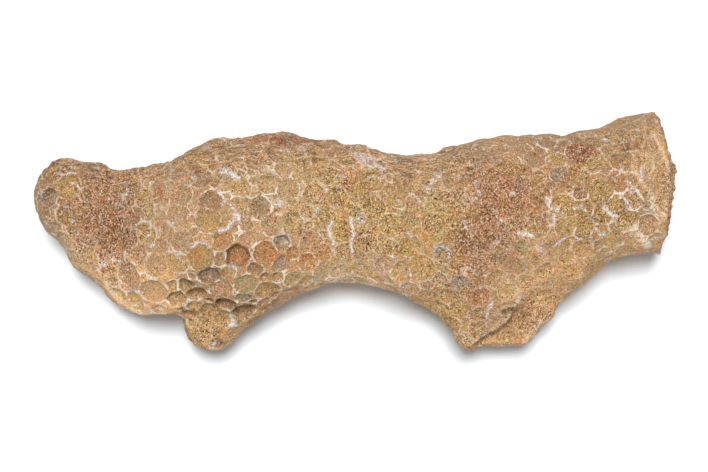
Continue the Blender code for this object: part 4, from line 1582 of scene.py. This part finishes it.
@dataclass(frozen=True)
class GritFinish:
    """The grit of the stone: dark and light grains, stained grains, and streaks where layers show.

    Attributes:
        grain: The size of the finest grains.
        odd: The share of the grains that are dark, and the share that are light.
        spread: How many more of the grains are odd where it is porous.
        smooth_contrast: The strength of the grains where the stone is dense.
        porous_contrast: How much stronger they are where it is porous.
        dark: What the darkest grains let through of the stone's colour, which is browner.
        light: What the lightest ones do, which is paler.
        bleach: How far the lightest ones turn to the colour of the crystals.
        mottling: The lighter and darker blotches.
        staining: The stained blotches.
        stains: What they let through.
        apart: How far off in the noise the first stain's blotches are taken, and the step to each next.
        clumps: Where the porous stone is grittier.
        pits: Where it is pitted, and how dark the pits are.
        pitted: The share of the pits that shows.
        streaks: The light and dark of the layers.
        streak: How many times longer than high a streak is.
        layering: How strongly the streaks show.
        flecks: The loose crystals.
        fleck: Their colour.
    """

    grain: float = 0.15
    odd: float = 0.3
    spread: float = 0.07
    smooth_contrast: float = 0.58
    porous_contrast: float = 0.55
    dark: tuple[float, float, float] = (0.25, 0.13, 0.03)
    light: tuple[float, float, float] = (1.65, 1.8, 2.0)
    bleach: float = 0.4
    mottling: Blotches = Blotches(1.2, 0.3, 0.7, (0.9, 1.1))
    staining: Blotches = Blotches(1.3, 0.5, 0.6, detail=2.0, rough=0.55)
    stains: tuple = ((1.0, 1.0, 0.78), (1.06, 0.93, 0.97), (1.06, 0.94, 0.84), (0.93, 0.97, 1.04))
    apart: tuple[float, float] = (31.0, 13.0)
    clumps: Blotches = Blotches(1.7, 0.4, 0.6, (0.6, 1.15), rough=0.65)
    pits: Blotches = Blotches(0.8, 0.4, 0.56, (0.84, 1.04), rough=0.65)
    pitted: float = 0.6
    streaks: Blotches = Blotches(0.45, 0.38, 0.62, (0.5, 1.4), rough=0.7)
    streak: float = 7.0
    layering: float = 0.8
    flecks: Blotches = Blotches(0.34, 0.57, 0.68, (0.0, 0.55), rough=0.7)
    fleck: tuple[float, float, float] = to_linear(240, 218, 190)

    def grains(self, bench: NodeBench) -> bpy.types.NodeSocket:
        """Make the finest grains: cells of space with one random number each, 0 to 1."""
        return bench.lot(bench.cells(self.grain), 1)

    def colour(self, bench: NodeBench, pigment_and_painted_light: object, grains: object) -> bpy.types.NodeSocket:
        """Break up the stone's colour, painted light and shade included, with grit, which is stronger where
        the stone is porous.

        Args:
            bench: The material's bench.
            pigment_and_painted_light: The stone's colour, with painted light and shade.
            grains: The finest grains' random numbers.

        Returns:
            The gritty colour.
        """
        colour = bench.scale(pigment_and_painted_light, self.mottling.draw(bench))
        first, further = self.apart
        for i, tint in enumerate(self.stains):
            shift = {0: bench.place, 1: ((first + further * i) * MM,) * 3}
            shifted = bench.add("ShaderNodeVectorMath", shift, operation="ADD").outputs[0]
            share = self.staining.draw(bench, shifted)
            colour = bench.mix(share, colour, bench.filter(colour, tint))
        clumps = self.clumps.draw(bench)
        porosity = bench.times(bench.read("porosity"), clumps)
        contrast = bench.sum("MULTIPLY_ADD", porosity, self.porous_contrast, self.smooth_contrast)
        pits = self.pits.draw(bench)
        colour = bench.mix(bench.times(porosity, self.pitted), colour, bench.scale(colour, pits))
        pale = bench.mix(self.bleach, bench.filter(colour, self.light), self.fleck)
        for tint, far, way in ((bench.filter(colour, self.dark), 0.0, -1.0), (pale, 1.0, 1.0)):
            odd = bench.sum("MULTIPLY_ADD", porosity, self.spread * way, grains)
            share = bench.ramp(odd, abs(far - self.odd), far)
            colour = bench.mix(bench.times(share, contrast), colour, tint)
        streaks = self.streaks.draw(bench, bench.drawn_out(3.0, 0.6, self.streak))
        layered = bench.times(bench.read("layered"), self.layering)
        colour = bench.mix(layered, colour, bench.scale(colour, streaks))
        return bench.mix(self.flecks.draw(bench), colour, self.fleck)


@dataclass(frozen=True)
class CalciteFinish:
    """White crystals along rims and in veins.

    Attributes:
        rim_width: The half width of a white rim.
        rim_core: The share of that which is fully white.
        rim_waver: The size and reach of the unevenness of a rim's edge, and what centres it on nought.
        outer: How much narrower a rim is on the side away from the cup.
        widening: How much wider the whitest rim is.
        rim_share: How far a rim turns to its colour.
        rim_colour: The cream of the rims.
        ragged: The size, the roughness and the reach of the unevenness of a vein's edge.
        vein_share: How far a vein turns to its colour.
        vein_colour: The colder white of the veins.
        broad: The same as ragged, for the wash.
        wash_share: How far the wash turns to its colour.
        wash_colour: The faint crust round the veins.
    """

    rim_width: float = 0.105
    rim_core: float = 0.4
    rim_waver: tuple[float, float, float] = (0.32, 0.6, -0.3)
    outer: float = 1.4
    widening: float = 0.08
    rim_share: float = 0.9
    rim_colour: tuple[float, float, float] = to_linear(248, 232, 210)
    ragged: tuple[float, float, float] = (0.38, 0.8, 4.2)
    vein_share: float = 0.9
    vein_colour: tuple[float, float, float] = to_linear(246, 238, 230)
    broad: tuple[float, float, float] = (0.7, 0.75, 2.4)
    wash_share: float = 0.4
    wash_colour: tuple[float, float, float] = to_linear(196, 180, 176)

    def rims(self, bench: NodeBench, grains: object) -> bpy.types.NodeSocket:
        """Draw the rims: whiter the nearer to a rim, with an uneven edge, and broken by the grains."""
        white = bench.read("rim_white")
        size, reach, middle = self.rim_waver
        waver = bench.sum("MULTIPLY_ADD", bench.noise(size, 3.0, 0.7), reach, middle)
        inside = bench.read("rim")
        away = bench.sum("MAXIMUM", inside, bench.times(inside, -self.outer))
        away = bench.sum("ADD", away, waver)
        away = bench.sum("MULTIPLY_ADD", white, -self.widening, away)
        drawn = bench.times(bench.ramp(away, self.rim_width, self.rim_width * self.rim_core), white)
        return bench.times(drawn, bench.ramp(grains, 0.0, 0.4, (0.55, 1.0)))

    def veins(self, bench: NodeBench, grains: object) -> tuple[bpy.types.NodeSocket, bpy.types.NodeSocket]:
        """Draw the veins and the wash round them: where their strength and a noise together pass a level.

        Args:
            bench: The material's bench.
            grains: The finest grains' random numbers.

        Returns:
            The share of crystal, and the share of wash.
        """
        strength = bench.read("calcite")
        ragged, broad = (
            bench.sum("MULTIPLY_ADD", bench.noise(size, 4.0, rough), reach, -reach / 2)
            for size, rough, reach in (self.ragged, self.broad)
        )
        crystal = bench.ramp(bench.sum("ADD", strength, ragged), 0.65, 1.05)
        crystal = bench.times(crystal, bench.ramp(grains, 0.05, 0.5, (0.45, 1.0)))
        return crystal, bench.ramp(bench.sum("ADD", strength, broad), 0.3, 0.8)


@dataclass(frozen=True)
class LimestoneFinish:
    """Dry porous fossil limestone, stained with iron.

    Attributes:
        name: The material's name.
        tone: How dark the stone is against its stains' own colours.
        roughness: The roughness of the bare stone.
        crystal_roughness: The roughness of calcite.
        shine: The strength of its reflections.
        relief: The height of the finest relief.
        bump: The strength of that relief.
        raised: How far the rims stand up in it.
        fracture_share: How far the broken end turns to its own colour.
        fracture_tint: The fresher stone of the broken end.
        pores: Its pores.
        grit: Its grit.
        calcite: Its calcite.
    """

    name: str = "weathered_coral_limestone"
    tone: tuple[float, float, float] = (0.782, 0.775, 0.702)
    roughness: float = 0.9
    crystal_roughness: float = 0.5
    shine: float = 0.3
    relief: float = 0.16
    bump: float = 0.9
    raised: float = 0.35
    fracture_share: float = 0.55
    fracture_tint: tuple[float, float, float] = to_linear(196, 146, 96)
    pores: PoreFinish = PoreFinish()
    grit: GritFinish = GritFinish()
    calcite: CalciteFinish = CalciteFinish()

    def material(self) -> bpy.types.Material:
        """Make the material.

        Returns:
            The material.
        """
        material = bpy.data.materials.new(self.name)
        bench = NodeBench(material)
        calcite = self.calcite
        broken = bench.times(bench.read("fracture"), self.fracture_share)
        # The pigment attribute holds painted light and shade as well as the stone's colour.
        pigment_and_painted_light = bench.mix(broken, bench.read("pigment_and_painted_light", "Color"), self.fracture_tint)
        grains = self.grit.grains(bench)
        colour = self.grit.colour(bench, bench.filter(pigment_and_painted_light, self.tone), grains)
        pores = self.pores.mask(bench)
        colour = bench.mix(bench.times(pores, self.pores.strength), colour, self.pores.colour)
        rims = calcite.rims(bench, grains)
        colour = bench.mix(bench.times(rims, calcite.rim_share), colour, calcite.rim_colour)
        veins, wash = calcite.veins(bench, grains)
        colour = bench.mix(bench.times(wash, calcite.wash_share), colour, calcite.wash_colour)
        colour = bench.mix(bench.times(veins, calcite.vein_share), colour, calcite.vein_colour)
        rough = bench.ramp(veins, 0.0, 1.0, (self.roughness, self.crystal_roughness))
        height = bench.sum("SUBTRACT", bench.sum("ADD", grains, bench.times(rims, self.raised)), pores)
        relief = {"Height": height, "Strength": self.bump, "Distance": self.relief * MM}
        normal = bench.add("ShaderNodeBump", relief).outputs[0]
        look = {"Base Color": colour, "Roughness": rough, "Normal": normal, "Specular IOR Level": self.shine}
        bench.finish(look)
        return material


@dataclass(frozen=True)
class PaperFinish:
    """Plain matt white paper for the floor, with a very faint tooth."""

    name: str = "studio_paper"
    shade: tuple[float, float, float] = (0.885, 0.93, 0.97)
    tooth: Blotches = Blotches(0.8, 0.3, 0.7, (0.995, 1.005), detail=2.0)

    def material(self) -> bpy.types.Material:
        """Make the material.

        Returns:
            The material.
        """
        material = bpy.data.materials.new(self.name)
        bench = NodeBench(material)
        colour = bench.scale(self.shade, self.tooth.draw(bench))
        bench.finish({"Base Color": colour, "Roughness": 1.0, "Specular IOR Level": 0.0})
        return material


# =============================================================================================
# The piece and its studio
# =============================================================================================
@dataclass(frozen=True)
class FossilCoral:
    """The coral itself, one piece over the three solids."""

    skin: CoralSkin
    finish: LimestoneFinish

    def build(self) -> bpy.types.Object:
        """Build the skin inside the solids' own box and stand it in for them.

        Returns:
            The finished piece.
        """
        low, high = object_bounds()
        skin = self.skin.build(np.array(low) / MM, np.array(high) / MM)
        piece = bpy.data.objects.new("fossil_coral", skin.mesh("fossil_coral"))
        bpy.context.scene.collection.objects.link(piece)
        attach(piece, "root")
        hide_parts(*NODES)
        LOG.info("fossil_coral: %d points", len(piece.data.vertices))
        return piece

    def dress(self, piece: bpy.types.Object) -> None:
        """Give the piece its limestone.

        Args:
            piece: The piece to dress.
        """
        piece.data.materials.append(self.finish.material())


@dataclass(frozen=True)
class Lamp:
    """A distant lamp: where it stands, seen from the coral, how wide it looks, and its strength."""

    name: str
    azimuth: float
    elevation: float
    spread: float
    strength: float

    def build(self) -> None:
        """Hang the lamp. The azimuth turns from +X towards +Y, in degrees."""
        light = bpy.data.lights.new(self.name, "SUN")
        light.angle = math.radians(self.spread)
        light.energy = self.strength
        lamp = bpy.data.objects.new(self.name, light)
        lamp.rotation_euler = (0.0, math.radians(90 - self.elevation), math.radians(self.azimuth))
        bpy.context.scene.collection.objects.link(lamp)


@dataclass(frozen=True)
class Studio:
    """A white floor, soft light and a camera looking straight down.

    Attributes:
        view_width: The width of what the camera sees at the coral's middle height.
        view_height: That height.
        aim: The point that the camera looks at in plan.
        focal_length: The camera's focal length.
        sensor: The width of its sensor.
        floor_radius: The radius of the floor.
        ambient: The strength of the even light.
        lamps: The lamps.
        paper: The floor's finish.
    """

    view_width: float = 114.3
    view_height: float = 11.0
    aim: tuple[float, float] = (-0.15, -0.69)
    focal_length: float = 150.0
    sensor: float = 36.0
    floor_radius: float = 1500.0
    ambient: float = 0.27
    lamps: tuple[Lamp, ...] = (
        Lamp("key", 94.0, 77.5, 18.0, 3.4),
        Lamp("low_fill", -90.0, 5.0, 30.0, 0.6),
    )
    paper: PaperFinish = PaperFinish()

    def build(self) -> None:
        """Set up the floor, the lamps, the sky and the camera."""
        self.floor()
        for lamp in self.lamps:
            lamp.build()
        self.sky()
        self.camera()
        LOG.info("studio: %d lamps", len(self.lamps))

    def floor(self) -> None:
        """Lay a round floor on the plane that the coral rests on."""
        angle = np.linspace(0.0, math.tau, 97)[:-1]
        rim = np.stack([np.cos(angle), np.sin(angle), np.zeros_like(angle)], axis=-1)
        rim = rim * self.floor_radius * MM
        mesh = bpy.data.meshes.new("floor")
        mesh.from_pydata(rim.tolist(), [], [list(range(len(rim)))])
        floor = bpy.data.objects.new("floor", mesh)
        floor.data.materials.append(self.paper.material())
        bpy.context.scene.collection.objects.link(floor)
        floor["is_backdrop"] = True

    def sky(self) -> None:
        """Light everything evenly from all round."""
        world = bpy.data.worlds.new("studio_sky")
        world.use_nodes = True
        background = world.node_tree.nodes["Background"]
        background.inputs["Color"].default_value = (1.0, 1.0, 1.0, 1.0)
        background.inputs["Strength"].default_value = self.ambient
        bpy.context.scene.world = world
        bpy.context.scene.view_settings.view_transform = "Standard"

    def camera(self) -> None:
        """Hang the camera over the coral, with its top towards +Y."""
        data = bpy.data.cameras.new("camera")
        data.lens = self.focal_length
        data.sensor_width = self.sensor
        distance = self.view_width * self.focal_length / self.sensor
        data.clip_start, data.clip_end = 0.01, 10.0
        camera = bpy.data.objects.new("camera", data)
        camera.location = np.array((*self.aim, self.view_height + distance)) * MM
        bpy.context.scene.collection.objects.link(camera)
        bpy.context.scene.camera = camera


def main() -> None:
    """Build the coral and its studio."""
    logging.basicConfig(level=logging.INFO, format="%(name)s %(message)s")
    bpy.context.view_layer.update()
    coral = FossilCoral(CoralSkin(), LimestoneFinish())
    piece = coral.build()
    coral.dress(piece)
    Studio().build()


if __name__ == "__main__":
    main()
